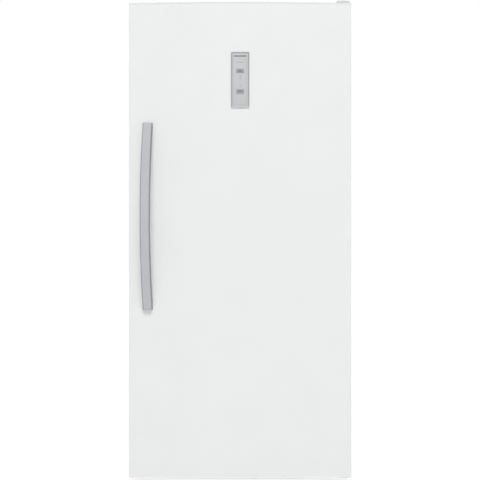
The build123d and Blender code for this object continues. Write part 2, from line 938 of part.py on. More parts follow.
def rear_cover():
    y0 = y_rear_flange + base_sheet
    y1 = y0 + rear_cover_sheet
    half = half_inside - slide_gap
    z0, z1 = base_underside + slide_gap, compartment_top - slide_gap
    cover = block(-half, half, y0, y1, z0, z1)
    middle = (z0 + z1) / 2
    for column in range(louvre_columns):
        x = (column - (louvre_columns - 1) / 2) * (louvre_width + louvre_gap)
        for i in range(louvre_count):
            z = middle + (i - (louvre_count - 1) / 2) * louvre_pitch
            w, h = louvre_width / 2, louvre_height / 2
            cover -= block(x - w, x + w, y0, y1, z - h, z + h)
    for x, z in rear_screw_places():
        cover -= rod_y(x, y0, y1, z, screw_hole)
    x, z = gland_place()
    cover -= rod_y(x, y0, y1, z, gland_bore)
    return cover + cord_inlet(y0 - gland_depth, y0)


def gland_place():
    return half_inside - gland_side_inset, compartment_top - gland_drop


def cord_inlet(y0, y1):
    """The collar behind the cord hole, open right through."""
    x, z = gland_place()
    return rod_y(x, y0, y1, z, gland_radius) - rod_y(x, y0, y1, z, gland_bore)


def cabinet_screws():
    """Screws of the rear cover and of both hinges."""
    screws = []
    y_head = y_back - screw_head_height
    for x, z in rear_screw_places():
        head = rod_y(x, y_head, y_back, z, screw_head_radius)
        screws.append(head + rod_y(x, y_back - screw_length, y_head, z, screw_radius))
    for x, y in hinge_screw_places():
        z = cabinet_top + hinge_sheet
        head = rod_z(x, y, z, z + screw_head_height, screw_head_radius)
        low = cabinet_top - screw_length + hinge_sheet
        screws.append(head + rod_z(x, y, low, z, screw_radius))
        z = base_underside - hinge_sheet
        head = rod_z(x, y, z - screw_head_height, z, screw_head_radius)
        high = base_underside + screw_length - hinge_sheet
        screws.append(head + rod_z(x, y, z, high, screw_radius))
    return Compound(children=screws)


# Feet


def leveling_leg(x):
    leg = rod_z(x, leg_y, 0, leg_pad_height, leg_pad_radius)
    leg = fillet(leg.edges().group_by(Axis.Z)[-1], leg_pad_edge)
    return leg + rod_z(x, leg_y, leg_pad_height, leg_stud_top, leg_stud_radius)


def leveling_leg_left():
    return leveling_leg(-leg_x)


def leveling_leg_right():
    return leveling_leg(leg_x)


def roller(x):
    half = roller_width / 2
    wheel = rod_x(x - half, x + half, roller_y, roller_radius, roller_radius)
    wheel = chamfer(wheel.edges(), roller_edge)
    bore = roller_axle_radius + running_fit
    return wheel - rod_x(x - half, x + half, roller_y, roller_radius, bore)


def roller_left():
    return roller(-roller_x)


def roller_right():
    return roller(roller_x)


def roller_brackets():
    half = roller_width / 2 + roller_side_gap
    outer = half + roller_bracket_sheet
    y0, y1 = roller_y - roller_bracket_length / 2, roller_y + roller_bracket_length / 2
    z1 = base_underside
    bracket = block(-outer, outer, y0, y1, roller_bracket_bottom, z1)
    bracket -= block(-half, half, y0, y1, roller_bracket_bottom, z1 - roller_bracket_sheet)
    bracket += rod_x(-outer, outer, roller_y, roller_radius, roller_axle_radius)
    return Pos(-roller_x, 0, 0) * bracket + Pos(roller_x, 0, 0) * bracket


# Coils and fans


def serpentine(x_start, x_far, y, z0, height, passes, radius):
    """One unbroken tube that runs to and fro, with a half turn at each end."""
    pitch = height / (passes - 1)
    points = [(x_start, y, z0)]
    for i in range(passes):
        x = x_far if i % 2 == 0 else x_start
        points.append((x, y, z0 + i * pitch))
        if i < passes - 1:
            points.append((x, y, z0 + (i + 1) * pitch))
    return tube(points, radius, pitch / 2 - seat_gap)


def fins(x0, x1, y0, y1, z0, z1, count):
    step = (x1 - x0) / (count - 1)
    half = fin_sheet / 2
    return [block(x0 + i * step - half, x0 + i * step + half, y0, y1, z0, z1)
            for i in range(count)]


def evaporator_coil():
    half = evap_coil_half
    z0, z1 = evap_coil_bottom, evap_coil_bottom + evap_coil_height
    coil = serpentine(-half, half, y_evap_coil, z0, evap_coil_height, evap_coil_passes,
                      evap_tube_radius)
    edge = half - evap_coil_height / (evap_coil_passes - 1) / 2
    y0 = y_liner_rear - evap_fin_depth
    low, high = z0 - evap_fin_over, z1 + evap_fin_over
    return coil.fuse(*fins(-edge, edge, y0, y_liner_rear, low, high, evap_fin_count))


def condenser_coil():
    x0, x1 = condenser_right, condenser_left
    z0, z1 = condenser_bottom, condenser_bottom + condenser_height
    y_rows = [y_compartment + condenser_row_front, y_compartment + condenser_row_back]
    rows = [serpentine(x0, x1, y, z0, condenser_height, condenser_passes,
                       condenser_tube_radius) for y in y_rows]
    x2 = x0 + condenser_link
    link = tube([(x0, y_rows[0], z0), (x2, y_rows[0], z0), (x2, y_rows[1], z0),
                 (x0, y_rows[1], z0)], condenser_tube_radius, line_bend)
    inset = condenser_height / (condenser_passes - 1) / 2
    y0, y1 = y_compartment + condenser_fin_front, y_compartment + condenser_fin_back
    plates = fins(x1 + inset, x0 - inset, y0, y1, pan_top, z1 + condenser_fin_over,
                  condenser_fin_count)
    return rows[0].fuse(rows[1], link, *plates)


def fan(hub_radius, hub_depth, tip_radius, chord, count):
    """Blades on a hub, with the shaft along Z and its bore open."""
    hub = Cylinder(hub_radius, hub_depth)
    length = tip_radius - hub_radius / 2
    blade = Pos(hub_radius / 2 + length / 2, 0, 0) * Rot(fan_pitch_angle, 0, 0)
    blade *= Box(length, chord, fan_blade_sheet)
    blades = [Rot(0, 0, i * 360 / count) * blade for i in range(count)]
    round_tips = Cylinder(tip_radius, hub_depth)
    wheel = hub.fuse(*blades) & round_tips
    return wheel - Cylinder(fan_shaft_radius + running_fit, hub_depth)


def evap_motor_front():
    return y_liner_rear - evap_cover_depth + evap_cover_wall


def evaporator_fan_motor():
    y0 = evap_motor_front()
    y1 = y0 + evap_motor_depth
    motor = rod_y(0, y0, y1, evap_fan_z, evap_motor_radius)
    motor = fillet(motor.edges().group_by(Axis.Y)[-1], motor_edge)
    return motor + rod_y(0, y1, y1 + evap_shaft_length, evap_fan_z, fan_shaft_radius)


def evaporator_fan_blades():
    y1 = evap_motor_front() + evap_motor_depth + evap_shaft_length
    wheel = fan(fan_hub_radius, evap_hub_depth, evap_fan_radius, evap_blade_chord,
                evap_blade_count)
    return Pos(0, y1 - evap_hub_depth / 2, evap_fan_z) * Rot(90, 0, 0) * wheel


def condenser_fan_motor():
    """The motor, its three arms and the shroud plate that carries them."""
    y0, y1 = y_compartment + base_sheet, y_rear_flange
    yc = (y0 + y1) / 2
    half = shroud_sheet / 2
    x = cond_fan_x
    z1 = compartment_top - base_sheet
    inside = half_inside - base_sheet
    plate = block(x - half, x + half, y0, min(y1, y0 + inside), pan_top, z1)
    plate -= rod_x(x - half, x + half, yc, cond_fan_z, cond_fan_radius + cond_fan_gap)
    for y in (y_compartment + condenser_row_front, y_riser):
        low = line_z - notch_half
        plate -= block(x - half, x + half, y - notch_half, y + notch_half, low, z1)
    x0 = x + cond_motor_gap
    x2 = x0 + cond_motor_length
    body = rod_x(x0, x2, yc, cond_fan_z, cond_motor_radius)
    body = fillet(body.edges().group_by(Axis.X)[-1], motor_edge)
    shaft = rod_x(x - cond_shaft_past, x0, yc, cond_fan_z, fan_shaft_radius)
    reach = cond_fan_radius + cond_fan_gap + cond_foot_land + cond_arm
    arms = []
    for angle in (90, 210, 330):
        arm = block(x0, x0 + cond_arm, -cond_arm / 2, cond_arm / 2, cond_motor_radius / 2, reach)
        foot = block(x + half, x0 + cond_arm, -cond_arm / 2, cond_arm / 2,
                     reach - cond_arm, reach)
        arms.append(Pos(0, yc, cond_fan_z) * Rot(angle - 90, 0, 0) * (arm + foot))
    return plate.fuse(body, shaft, *arms)


def condenser_fan_blades():
    yc = (y_compartment + base_sheet + y_rear_flange) / 2
    wheel = fan(cond_hub_radius, cond_hub_depth, cond_fan_radius, cond_blade_chord,
                cond_blade_count)
    return Pos(cond_fan_x, yc, cond_fan_z) * Rot(0, 90, 0) * wheel


# Machine compartment


def compressor():
    x, y, z = compressor_x, compressor_y, compressor_bottom
    z0 = z + compressor_foot_sheet
    z1 = z0 + compressor_height
    pot = rod_z(x, y, z0, z1, compressor_radius)
    pot = fillet(pot.edges().group_by(Axis.Z)[-1], compressor_dome)
    pot = fillet(pot.edges().group_by(Axis.Z)[0], compressor_bowl)
    seam = z0 + compressor_height / 2
    pot += rod_z(x, y, seam, seam + compressor_seam_height, compressor_radius + compressor_seam)
    fx, fy = compressor_foot_x, compressor_foot_y
    m = compressor_foot_margin
    foot = block(x - fx - m, x + fx + m, y - fy - m, y + fy + m, z, z0)
    foot = fillet(foot.edges().filter_by(Axis.Z), m)
    for sx in (-1, 1):
        for sy in (-1, 1):
            foot -= rod_z(x + sx * fx, y + sy * fy, z, z0, grommet_neck + running_fit)
    x_side = x + compressor_radius - terminal_depth / 2
    box = block(x_side, x_side + terminal_depth + terminal_depth / 2, y - terminal_width / 2,
                y + terminal_width / 2, seam - terminal_height / 2, seam + terminal_height / 2)
    for sign in (-1, 1):
        pot += rod_z(x + sign * port_offset, y + sign * port_offset, seam, port_top, port_radius)
    return pot + foot + box


def compressor_grommets():
    z0, z1 = pan_top, compressor_bottom
    z2 = z1 + compressor_foot_sheet
    grommet = rod_z(0, 0, z0, z1, grommet_radius)
    grommet += rod_z(0, 0, z1, z2, grommet_neck)
    grommet += rod_z(0, 0, z2, z2 + grommet_lip_height, grommet_lip_radius)
    places = [(sx, sy) for sx in (-1, 1) for sy in (-1, 1)]
    return Compound(children=[
        Pos(compressor_x + sx * compressor_foot_x, compressor_y + sy * compressor_foot_y, 0)
        * grommet for sx, sy in places])


def drain_pan():
    y0, y1 = y_compartment + base_sheet + pan_front_gap, y_rear_flange - pan_rear_gap
    z0, z1 = pan_top, pan_top + pan_height
    w = pan_wall
    pan = block(pan_left, pan_right, y0, y1, z0, z1)
    return pan - block(pan_left + w, pan_right - w, y0 + w, y1 - w, z0 + w, z1)


def refrigerant_lines():
    """The suction line, the discharge line, and the drier with its thin outlet tube."""
    x_port, y_port = compressor_x - port_offset, compressor_y - port_offset
    y_first = y_compartment + condenser_row_front
    y_second = y_compartment + condenser_row_back
    z_top = condenser_bottom + condenser_height
    discharge = tube([(x_port, y_port, port_top), (x_port, y_port, line_z),
                      (x_port - 2 * line_bend, y_port, line_z),
                      (x_port - 5 * line_bend, y_first, line_z),
                      (drop_x, y_first, line_z), (drop_x, y_first, z_top),
                      (condenser_right, y_first, z_top)], line_radius, line_bend)
    liquid = tube([(condenser_right, y_second, z_top), (drop_x, y_second, z_top),
                   (drop_x, y_second, drier_top)], line_radius, line_bend)
    drier = rod_z(drop_x, y_second, drier_bottom, drier_top, drier_radius)
    drier = fillet(drier.edges(), drier_neck)
    capillary = tube([(drop_x, y_second, drier_bottom), (drop_x, y_second, capillary_low),
                      (drop_x, y_riser, capillary_low), (drop_x, y_riser, line_z)],
                     capillary_radius, line_bend)
    return suction_tube(0) + discharge + (liquid + drier + capillary)


# Inside the food space


def evaporator_cover():
    wall = evap_cover_wall

    def shape(inset):
        half = evap_cover_half - inset
        y0 = y_liner_rear - evap_cover_depth + inset
        low, high = evap_cover_bottom + inset, evap_cover_top - inset
        body = block(-half, half, y0, y_liner_rear, low, high)
        dx, dy = duct_half - inset, y_liner_rear - duct_depth + inset
        return body + block(-dx, dx, dy, y_liner_rear, high - wall, duct_top - inset)

    cover = shape(0) - shape(wall)
    y0, y1 = y_liner_rear - evap_cover_depth, y_liner_rear - evap_cover_depth + wall
    for i in range(grille_slots):
        z = evap_fan_z + (i - (grille_slots - 1) / 2) * grille_slot_pitch
        x, h = grille_slot_width / 2, grille_slot_height / 2
        cover -= block(-x, x, y0, y1, z - h, z + h) - rod_y(0, y0, y1, evap_fan_z,
                                                            evap_motor_radius + wall)
    for i in range(return_slots):
        x = (i - (return_slots - 1) / 2) * return_slot_pitch
        w, z = return_slot_width / 2, evap_cover_bottom + return_slot_height
        cover -= block(x - w, x + w, y0, y1, z - return_slot_height / 2,
                       z + return_slot_height / 2)
    d0 = y_liner_rear - duct_depth
    for i in range(duct_vent_rows):
        z = duct_vent_first + i * duct_vent_pitch
        w, h = duct_vent_width / 2, duct_vent_height / 2
        x = duct_vent_offset
        cover -= both_sides(block(x - w, x + w, d0, d0 + wall, z - h, z + h))
    return cover


def led_light_lens():
    x = lens_width / 2
    y0 = y_cabinet + lens_front
    lens = block(-x, x, y0, y0 + lens_depth, liner_ceiling - lens_height, liner_ceiling)
    return fillet(lens.edges().group_by(Axis.Z)[0], lens_edge)


def shelf_glass(z):
    half = liner_half - shelf_side_gap
    y0 = y_cabinet + shelf_front + trim_lap
    y1 = y_liner_rear - shelf_rear_gap - trim_lap
    return block(-half, half, y0, y1, z, z + glass_thickness)


def shelf_trim(z):
    half = liner_half - shelf_side_gap
    y0 = y_cabinet + shelf_front
    front = block(-half, half, y0, y0 + trim_depth, z - trim_under, z + trim_over)
    front = fillet(front.edges().group_by(Axis.Y)[0], trim_edge)
    y1 = y_liner_rear - shelf_rear_gap
    rear = block(-half, half, y1 - rear_trim_depth, y1, z - trim_under, z + trim_over)
    return front + rear - shelf_glass(z)


def crisper_cover_glass():
    half = liner_half - shelf_side_gap - crisper_cover_rim + crisper_glass_lap
    y0, y1 = crisper_cover_ends()
    inset = crisper_cover_rim - crisper_glass_lap
    z1 = crisper_cover_z + crisper_cover_thickness
    return block(-half, half, y0 + inset, y1 - inset, z1 - glass_thickness, z1)


def crisper_cover_ends():
    return y_cabinet + shelf_front, y_liner_rear - shelf_side_gap


def crisper_cover_frame():
    """A rim around the glass, and the rail between the two crispers below it."""
    half = liner_half - shelf_side_gap
    y0, y1 = crisper_cover_ends()
    rim = crisper_cover_rim
    z0, z1 = crisper_cover_z, crisper_cover_z + crisper_cover_thickness
    frame = block(-half, half, y0, y1, z0, z1)
    frame -= block(-half + rim, half - rim, y0 + rim, y1 - rim, z0, z1)
    frame -= crisper_cover_glass()
    bar = rail_web / 2 + rail_lap
    rail = block(-bar, bar, y0 + rim, y1 - rim, z0, z1 - glass_thickness)
    web = rail_web / 2
    z_flange = rail_z - rail_thickness
    rail += block(-web, web, y_rail, y_rail_end, z_flange, z0)
    rail += block(-bar, bar, y_rail, y_rail_end, z_flange, rail_z)
    return Compound(children=[frame, rail])


def crisper_inner_side():
    return rail_web / 2 + rail_lap + crisper_side_gap


def crisper_outer_side():
    return liner_half - shelf_ledge - crisper_side_gap


def around_windows(plate, windows):
    """The pieces of a plate beside and between windows that stand one above the other."""
    box = plate.bounding_box()
    x0, x1, y0, y1 = box.min.X, box.max.X, box.min.Y, box.max.Y
    z = box.min.Z
    cuts = []
    for left, right, bottom, top in windows:
        cuts.append(block(x0, x1, y0, y1, z, bottom))
        cuts.append(block(x0, left, y0, y1, bottom, top))
        cuts.append(block(right, x1, y0, y1, bottom, top))
        z = top
    cuts.append(block(x0, x1, y0, y1, z, box.max.Z))
    return [plate & cut for cut in cuts]


def crisper_right():
    """The right-hand crisper: a stepped box with hanging lips behind a front with a grip.

    Its walls and floors are plates that meet face to face.
    """
    x0, x1 = crisper_inner_side(), crisper_outer_side()
    y0 = y_crisper + crisper_panel
    low, high = liner_floor + crisper_floor_gap, crisper_top
    step = hump_top + crisper_hump_gap
    y_low, y_high = y_crisper + crisper_lower_depth, y_crisper + crisper_upper_depth
    w = crisper_wall
    plates = [
        block(x0, x1, y0, y_low, low, low + w),
        block(x0, x0 + w, y0, y_low, low + w, step),
        block(x1 - w, x1, y0, y_low, low + w, step),
        block(x0 + w, x1 - w, y_low - w, y_low, low + w, step),
        block(x0 + w, x1 - w, y_low - w, y_high, step, step + w),
        block(x0 + w, x1 - w, y_high - w, y_high, step + w, high),
        block(x0, x0 + w, y0, y_high, step, high),
        block(x1 - w, x1, y0, y_high, step, high),
    ]
    lip_in, lip_out = rail_web / 2 + crisper_side_gap, liner_half - crisper_lip_gap
    plates.append(block(lip_in, x0, y_rail, y_high, crisper_lip_low, crisper_top))
    plates.append(block(x1, lip_out, y_rail, y_high, crisper_lip_low, crisper_top))
    panel = block(lip_in, lip_out, y_crisper, y0, low, crisper_top + crisper_panel_over)
    panel = fillet(panel.edges().group_by(Axis.Y)[0], crisper_panel_edge)
    xc = (x0 + x1) / 2
    z, g, h = crisper_top - grip_drop, grip_width / 2, grip_height / 2
    grip = (xc - g, xc + g, z - h, z + h)
    s = humidity_travel + humidity_stem / 2 + slide_gap
    z, h = crisper_top - humidity_drop, humidity_slot_height / 2
    slot = (xc - s, xc + s, z - h, z + h)
    return Compound(children=plates + around_windows(panel, [grip, slot]))


def crisper_left():
    return mirror(crisper_right(), Plane.YZ)


def humidity_slider_right():
    """A knob in front of the slot, a stem through it and a plate behind it."""
    xc = (crisper_inner_side() + crisper_outer_side()) / 2
    z = crisper_top - humidity_drop
    y_in = y_crisper + crisper_panel
    w, h, d = humidity_knob_width / 2, humidity_knob_height / 2, humidity_knob_depth
    y1 = y_crisper - slide_gap
    knob = block(xc - w, xc + w, y1 - d, y1, z - h, z + h)
    knob = fillet(knob.edges().group_by(Axis.Y)[0], humidity_knob_edge)
    s, g = humidity_stem / 2, humidity_slot_height / 2 - slide_gap
    stem = block(xc - s, xc + s, y1, y_in + slide_gap, z - g, z + g)
    y2 = y_in + slide_gap
    plate = block(xc - w, xc + w, y2, y2 + crisper_wall, z - h, z + h)
    return knob + stem + plate


def humidity_slider_left():
    return mirror(humidity_slider_right(), Plane.YZ)


def door_bin(z, with_ears):
    """A door bin whose side rims rest on the ledges of the door liner."""
    x, w = bin_half, bin_wall
    z1 = z + bin_height
    body = block(-x, x, y_bin_rear, y_bin_front, z, z1)
    corners = body.edges().filter_by(Axis.Z).sort_by(Axis.Y)[-2:]
    body = fillet(corners, bin_corner)
    hollow = block(-x + w, x - w, y_bin_rear + w, y_bin_front - w, z + w, z1)
    corners = hollow.edges().filter_by(Axis.Z).sort_by(Axis.Y)[-2:]
    hollow = fillet(corners, bin_corner - w)
    rim_x = ring_half - ring_thickness - bin_rim_gap
    y1 = y_ring_tip - ring_ledge
    rim = block(x - w, rim_x, y_bin_rear, y1, z + bin_rim_z, z + bin_rim_z + bin_rim)
    body = body + both_sides(rim) - hollow
    if with_ears:
        ear = block(x - w, x, y_bin_rear, y_bin_rear + lid_ear, z1, z1 + lid_ear_height)
        body += both_sides(ear)
        axis_y, axis_z = lid_axis(z)
        body -= rod_x(-x, x, axis_y, axis_z, lid_pin + running_fit)
    return body


def lid_axis(z):
    return y_bin_rear + lid_pin_inset, z + bin_height + lid_gap + lid_knuckle


def dairy_lid():
    """The lid of the top bin, on two pins in the ears of the bin."""
    z = bin_heights()[0]
    axis_y, axis_z = lid_axis(z)
    inside = bin_half - bin_wall - slide_gap
    pin = bin_half - slide_gap
    lid = rod_x(-inside, inside, axis_y, axis_z, lid_knuckle)
    lid += rod_x(-pin, pin, axis_y, axis_z, lid_pin)
    z0 = z + bin_height + lid_gap
    ear_above = lid_ear_height - lid_gap - lid_knuckle
    y_ear = axis_y + math.hypot(lid_ear - lid_pin_inset, ear_above) + lid_gap
    lid += block(-inside, inside, axis_y, y_ear, z0, z0 + lid_sheet)
    wide = block(-bin_half, bin_half, y_ear, y_bin_front, z0, z0 + lid_sheet)
    corners = wide.edges().filter_by(Axis.Z).sort_by(Axis.Y)[-2:]
    return lid + fillet(corners, bin_corner)


pieces = {
    "cabinet_shell": cabinet_shell,
    "cabinet_back_panel": cabinet_back_panel,
    "cabinet_foam": cabinet_foam,
    "cabinet_liner": cabinet_liner,
    "base_frame": base_frame,
    "rear_cover": rear_cover,
    "cabinet_screws": cabinet_screws,
    "roller_brackets": roller_brackets,
    "roller_left": roller_left,
    "roller_right": roller_right,
    "leveling_leg_left": leveling_leg_left,
    "leveling_leg_right": leveling_leg_right,
    "compressor": compressor,
    "compressor_grommets": compressor_grommets,
    "condenser_coil": condenser_coil,
    "condenser_fan_motor": condenser_fan_motor,
    "condenser_fan_blades": condenser_fan_blades,
    "refrigerant_lines": refrigerant_lines,
    "drain_pan": drain_pan,
    "evaporator_cover": evaporator_cover,
    "evaporator_coil": evaporator_coil,
    "evaporator_fan_motor": evaporator_fan_motor,
    "evaporator_fan_blades": evaporator_fan_blades,
    "led_light_lens": led_light_lens,
    "crisper_cover_glass": crisper_cover_glass,
    "crisper_cover_frame": crisper_cover_frame,
    "crisper_left": crisper_left,
    "crisper_right": crisper_right,
    "humidity_slider_left": humidity_slider_left,
    "humidity_slider_right": humidity_slider_right,
    "top_hinge_bracket": top_hinge_bracket,
    "top_hinge_cover": top_hinge_cover,
    "bottom_hinge_bracket": bottom_hinge_bracket,
    "hinge_pins": hinge_pins,
    "door_skin": door_skin,
    "door_cap_top": door_cap_top,
    "door_cap_bottom": door_cap_bottom,
    "door_foam": door_foam,
    "door_liner": door_liner,
    "door_gasket": door_gasket,
    "door_bushes": door_bushes,
    "handle_bar": handle_bar,
    "handle_studs": handle_studs,
    "control_bezel": control_bezel,
    "control_fascia": control_fascia,
    "key_up": key_up,
    "key_down": key_down,
    "control_board": control_board,
    "dairy_lid": dairy_lid,
}


def main():
    os.makedirs("parts", exist_ok=True)
    for name, make in pieces.items():
        export_step(make(), f"parts/{name}.step")
    for i, z in enumerate(shelf_heights()):
        export_step(shelf_glass(z), f"parts/shelf_glass_{i + 1}.step")
        export_step(shelf_trim(z), f"parts/shelf_trim_{i + 1}.step")
    for i, z in enumerate(bin_heights()):
        export_step(door_bin(z, i == 0), f"parts/door_bin_{i + 1}.step")


main()
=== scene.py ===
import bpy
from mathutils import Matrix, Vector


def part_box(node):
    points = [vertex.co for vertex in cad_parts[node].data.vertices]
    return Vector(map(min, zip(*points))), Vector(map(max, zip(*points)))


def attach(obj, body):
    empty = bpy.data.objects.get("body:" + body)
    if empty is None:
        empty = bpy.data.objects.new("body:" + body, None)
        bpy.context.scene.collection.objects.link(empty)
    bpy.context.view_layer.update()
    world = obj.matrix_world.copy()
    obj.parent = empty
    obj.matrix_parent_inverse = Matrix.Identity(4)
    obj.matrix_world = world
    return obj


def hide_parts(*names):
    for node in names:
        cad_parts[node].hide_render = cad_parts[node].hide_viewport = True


bl_info = {
    "name": "Freezerless refrigerator",
    "version": (1, 0, 0),
    "blender": (4, 5, 0),
    "location": "3D View > Sidebar > Refrigerator",
    "description": "Finishes and fine shapes of an upright refrigerator on its CAD frame",
    "category": "Object",
}

import math
import bmesh
import bpy
from mathutils import Matrix, Vector

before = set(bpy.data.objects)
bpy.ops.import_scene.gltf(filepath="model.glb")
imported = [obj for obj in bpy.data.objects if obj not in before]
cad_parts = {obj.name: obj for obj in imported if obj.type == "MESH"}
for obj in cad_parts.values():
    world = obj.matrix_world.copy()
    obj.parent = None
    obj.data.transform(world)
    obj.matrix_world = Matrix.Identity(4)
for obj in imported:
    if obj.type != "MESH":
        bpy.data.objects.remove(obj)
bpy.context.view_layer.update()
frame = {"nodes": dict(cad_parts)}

MM = 0.001
# How close two places have to be to count as one
NEAR = 1e-6
# How often a surface's slow change of tone repeats
PATCHES_PER_METRE = 6.0


def linear(colour):
    """An sRGB hex colour as linear red, green, blue and alpha."""
    parts = [int(colour[i:i + 2], 16) / 255 for i in (1, 3, 5)]
    parts = [c / 12.92 if c <= 0.04045 else ((c + 0.055) / 1.055) ** 2.4 for c in parts]
    return (*parts, 1.0)


def add_node(tree, kind, inputs=None, **settings):
    """Adds a shader node, sets its properties, and fills or links its inputs."""
    made = tree.nodes.new(kind)
    for name, value in settings.items():
        setattr(made, name, value)
    for name, value in (inputs or {}).items():
        socket = made.inputs[name]
        if isinstance(value, bpy.types.NodeSocket):
            tree.links.new(value, socket)
        else:
            socket.default_value = value
    return made


def blank_material(name):
    """An empty node material and its output node."""
    made = bpy.data.materials.new(name)
    made.use_nodes = True
    tree = made.node_tree
    tree.nodes.clear()
    return made, tree, tree.nodes.new("ShaderNodeOutputMaterial")


def textured(name, colours, roughness, grain, depth, pattern="grain", stretch=(1, 1, 1),
             detail=2.0, change=0.06, edge_colour=None, **surface):
    """A surface whose tone, gloss and relief follow patterns with grains of a real size.

    The pattern is a grain, or the cells of a crystalline coating.
    """
    made, tree, output = blank_material(name)
    place = add_node(tree, "ShaderNodeTexCoord")
    scale = tuple(1 / (grain * s) for s in stretch)
    sized = add_node(tree, "ShaderNodeMapping",
                     {"Vector": place.outputs["Object"], "Scale": scale})
    if pattern == "cells":
        fine = add_node(tree, "ShaderNodeTexVoronoi", {"Vector": sized.outputs["Vector"],
                                                       "Scale": 1.0})
        value = add_node(tree, "ShaderNodeSeparateColor",
                         {"Color": fine.outputs["Color"]}).outputs["Red"]
        span = (0.0, 1.0)
    else:
        fine = add_node(tree, "ShaderNodeTexNoise", {"Vector": sized.outputs["Vector"],
                                                     "Scale": 1.0, "Detail": detail,
                                                     "Roughness": 0.5})
        value = fine.outputs["Fac"]
        span = (0.3, 0.7)
    broad = add_node(tree, "ShaderNodeTexNoise", {"Vector": place.outputs["Object"],
                                                  "Scale": PATCHES_PER_METRE, "Detail": 3.0})
    tone = value if pattern == "cells" else broad.outputs["Fac"]
    tint = add_node(tree, "ShaderNodeMapRange", {"Value": tone, "From Min": span[0],
                                                 "From Max": span[1]})
    mixed = add_node(tree, "ShaderNodeMix", {"Factor": tint.outputs["Result"]},
                     data_type="RGBA")
    for socket, colour in zip((6, 7), colours):
        mixed.inputs[socket].default_value = linear(colour) if isinstance(colour, str) \
            else tuple(colour)
    colour = mixed.outputs[2]
    if edge_colour:
        facing = add_node(tree, "ShaderNodeNewGeometry")
        up = add_node(tree, "ShaderNodeSeparateXYZ", {"Vector": facing.outputs["Normal"]})
        flat = add_node(tree, "ShaderNodeMath", {0: up.outputs["Z"]}, operation="ABSOLUTE")
        sides = add_node(tree, "ShaderNodeMix", {"Factor": flat.outputs[0]}, data_type="RGBA")
        sides.inputs[6].default_value = linear(edge_colour)
        tree.links.new(colour, sides.inputs[7])
        colour = sides.outputs[2]
    gloss = add_node(tree, "ShaderNodeMapRange", {"Value": value, "From Min": span[0],
                                                  "From Max": span[1],
                                                  "To Min": roughness - change,
                                                  "To Max": roughness + change})
    relief = add_node(tree, "ShaderNodeBump", {"Height": value, "Strength": 1.0,
                                               "Distance": depth})
    shader = add_node(tree, "ShaderNodeBsdfPrincipled",
                      {"Base Color": colour, "Roughness": gloss.outputs["Result"],
                       "Normal": relief.outputs["Normal"], **surface})
    tree.links.new(shader.outputs["BSDF"], output.inputs["Surface"])
    return made


def seen_directly(tree):
    """1 for the rays that show the background: from the camera, off gloss and through glass."""
    rays = add_node(tree, "ShaderNodeLightPath")
    first = add_node(tree, "ShaderNodeMath",
                     {0: rays.outputs["Is Camera Ray"], 1: rays.outputs["Is Glossy Ray"]},
                     operation="MAXIMUM")
    return add_node(tree, "ShaderNodeMath",
                    {0: first.outputs[0], 1: rays.outputs["Is Transmission Ray"]},
                    operation="MAXIMUM").outputs[0]


def welded(bm):
    """Joins the vertices that lie on one another and points every face outwards."""
    bmesh.ops.remove_doubles(bm, verts=bm.verts, dist=NEAR)
    bmesh.ops.recalc_face_normals(bm, faces=bm.faces)


def bevel(bm, edges, width, segments=3):
    """Rounds edges."""
    bmesh.ops.bevel(bm, geom=list(edges), offset=width, offset_type="OFFSET",
                    segments=segments, profile=0.5, affect="EDGES", clamp_overlap=True,
                    material=-1)


def moved_out(bm, faces, along):
    """Extrudes faces and carries their copies along a vector. Returns the moved vertices."""
    made = bmesh.ops.extrude_face_region(bm, geom=faces)
    moved = [g for g in made["geom"] if isinstance(g, bmesh.types.BMVert)]
    bmesh.ops.translate(bm, vec=along, verts=moved)
    return moved


def sharp_edges(bm, angle=30.0, keep=None):
    """The edges where two faces meet at more than an angle in degrees."""
    limit = math.radians(angle)
    return [e for e in bm.edges if len(e.link_faces) == 2 and e.calc_face_angle(0) > limit
            and (keep is None or keep(*(v.co for v in e.verts)))]


def finish(bm, name, material, body, replaces=(), smooth=35.0):
    """Turns a bmesh into a piece that rides on its body and stands for its CAD nodes."""
    mesh = bpy.data.meshes.new(name)
    bm.to_mesh(mesh)
    bm.free()
    for each in [material] if isinstance(material, str) else material:
        mesh.materials.append(bpy.data.materials[each])
    mesh.shade_smooth()
    mesh.set_sharp_from_angle(angle=math.radians(smooth))
    piece = bpy.data.objects.new(name, mesh)
    bpy.context.scene.collection.objects.link(piece)
    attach(piece, body)
    if replaces:
        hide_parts(*replaces)


def box_into(bm, low, high, edge=0.0, segments=2, keep=None):
    """A box between two corners, with its edges rounded."""
    size = [h - l for l, h in zip(low, high)]
    centre = [(l + h) / 2 for l, h in zip(low, high)]
    made = bmesh.ops.create_cube(bm, size=1.0, matrix=Matrix.Translation(centre)
                                 @ Matrix.Diagonal((*size, 1.0)))
    edges = {e for v in made["verts"] for e in v.link_edges}
    if edge:
        bevel(bm, [e for e in edges if keep is None or keep(*(v.co for v in e.verts))],
              edge, segments)


def boxed(low, high, edge=0.0, segments=2, keep=None):
    """A box of its own, as box_into makes it."""
    bm = bmesh.new()
    box_into(bm, low, high, edge, segments, keep)
    return bm


def extruded(points, along):
    """A closed prism: an outline carried along a vector."""
    bm = bmesh.new()
    bm.faces.new([bm.verts.new(p) for p in points])
    moved_out(bm, bm.faces[:], along)
    welded(bm)
    return bm


def sliced(bm, axis, *places):
    """Cuts the faces where they cross planes that are square to one axis."""
    for place in places:
        bmesh.ops.bisect_plane(bm, geom=bm.verts[:] + bm.edges[:] + bm.faces[:], dist=1e-7,
                               plane_co=[place * (i == axis) for i in range(3)],
                               plane_no=[float(i == axis) for i in range(3)])


def faces_within(bm, low, high):
    """The faces whose middles lie between two corners."""
    return [f for f in bm.faces
            if all(l - NEAR <= c <= h + NEAR
                   for l, c, h in zip(low, f.calc_center_median(), high))]


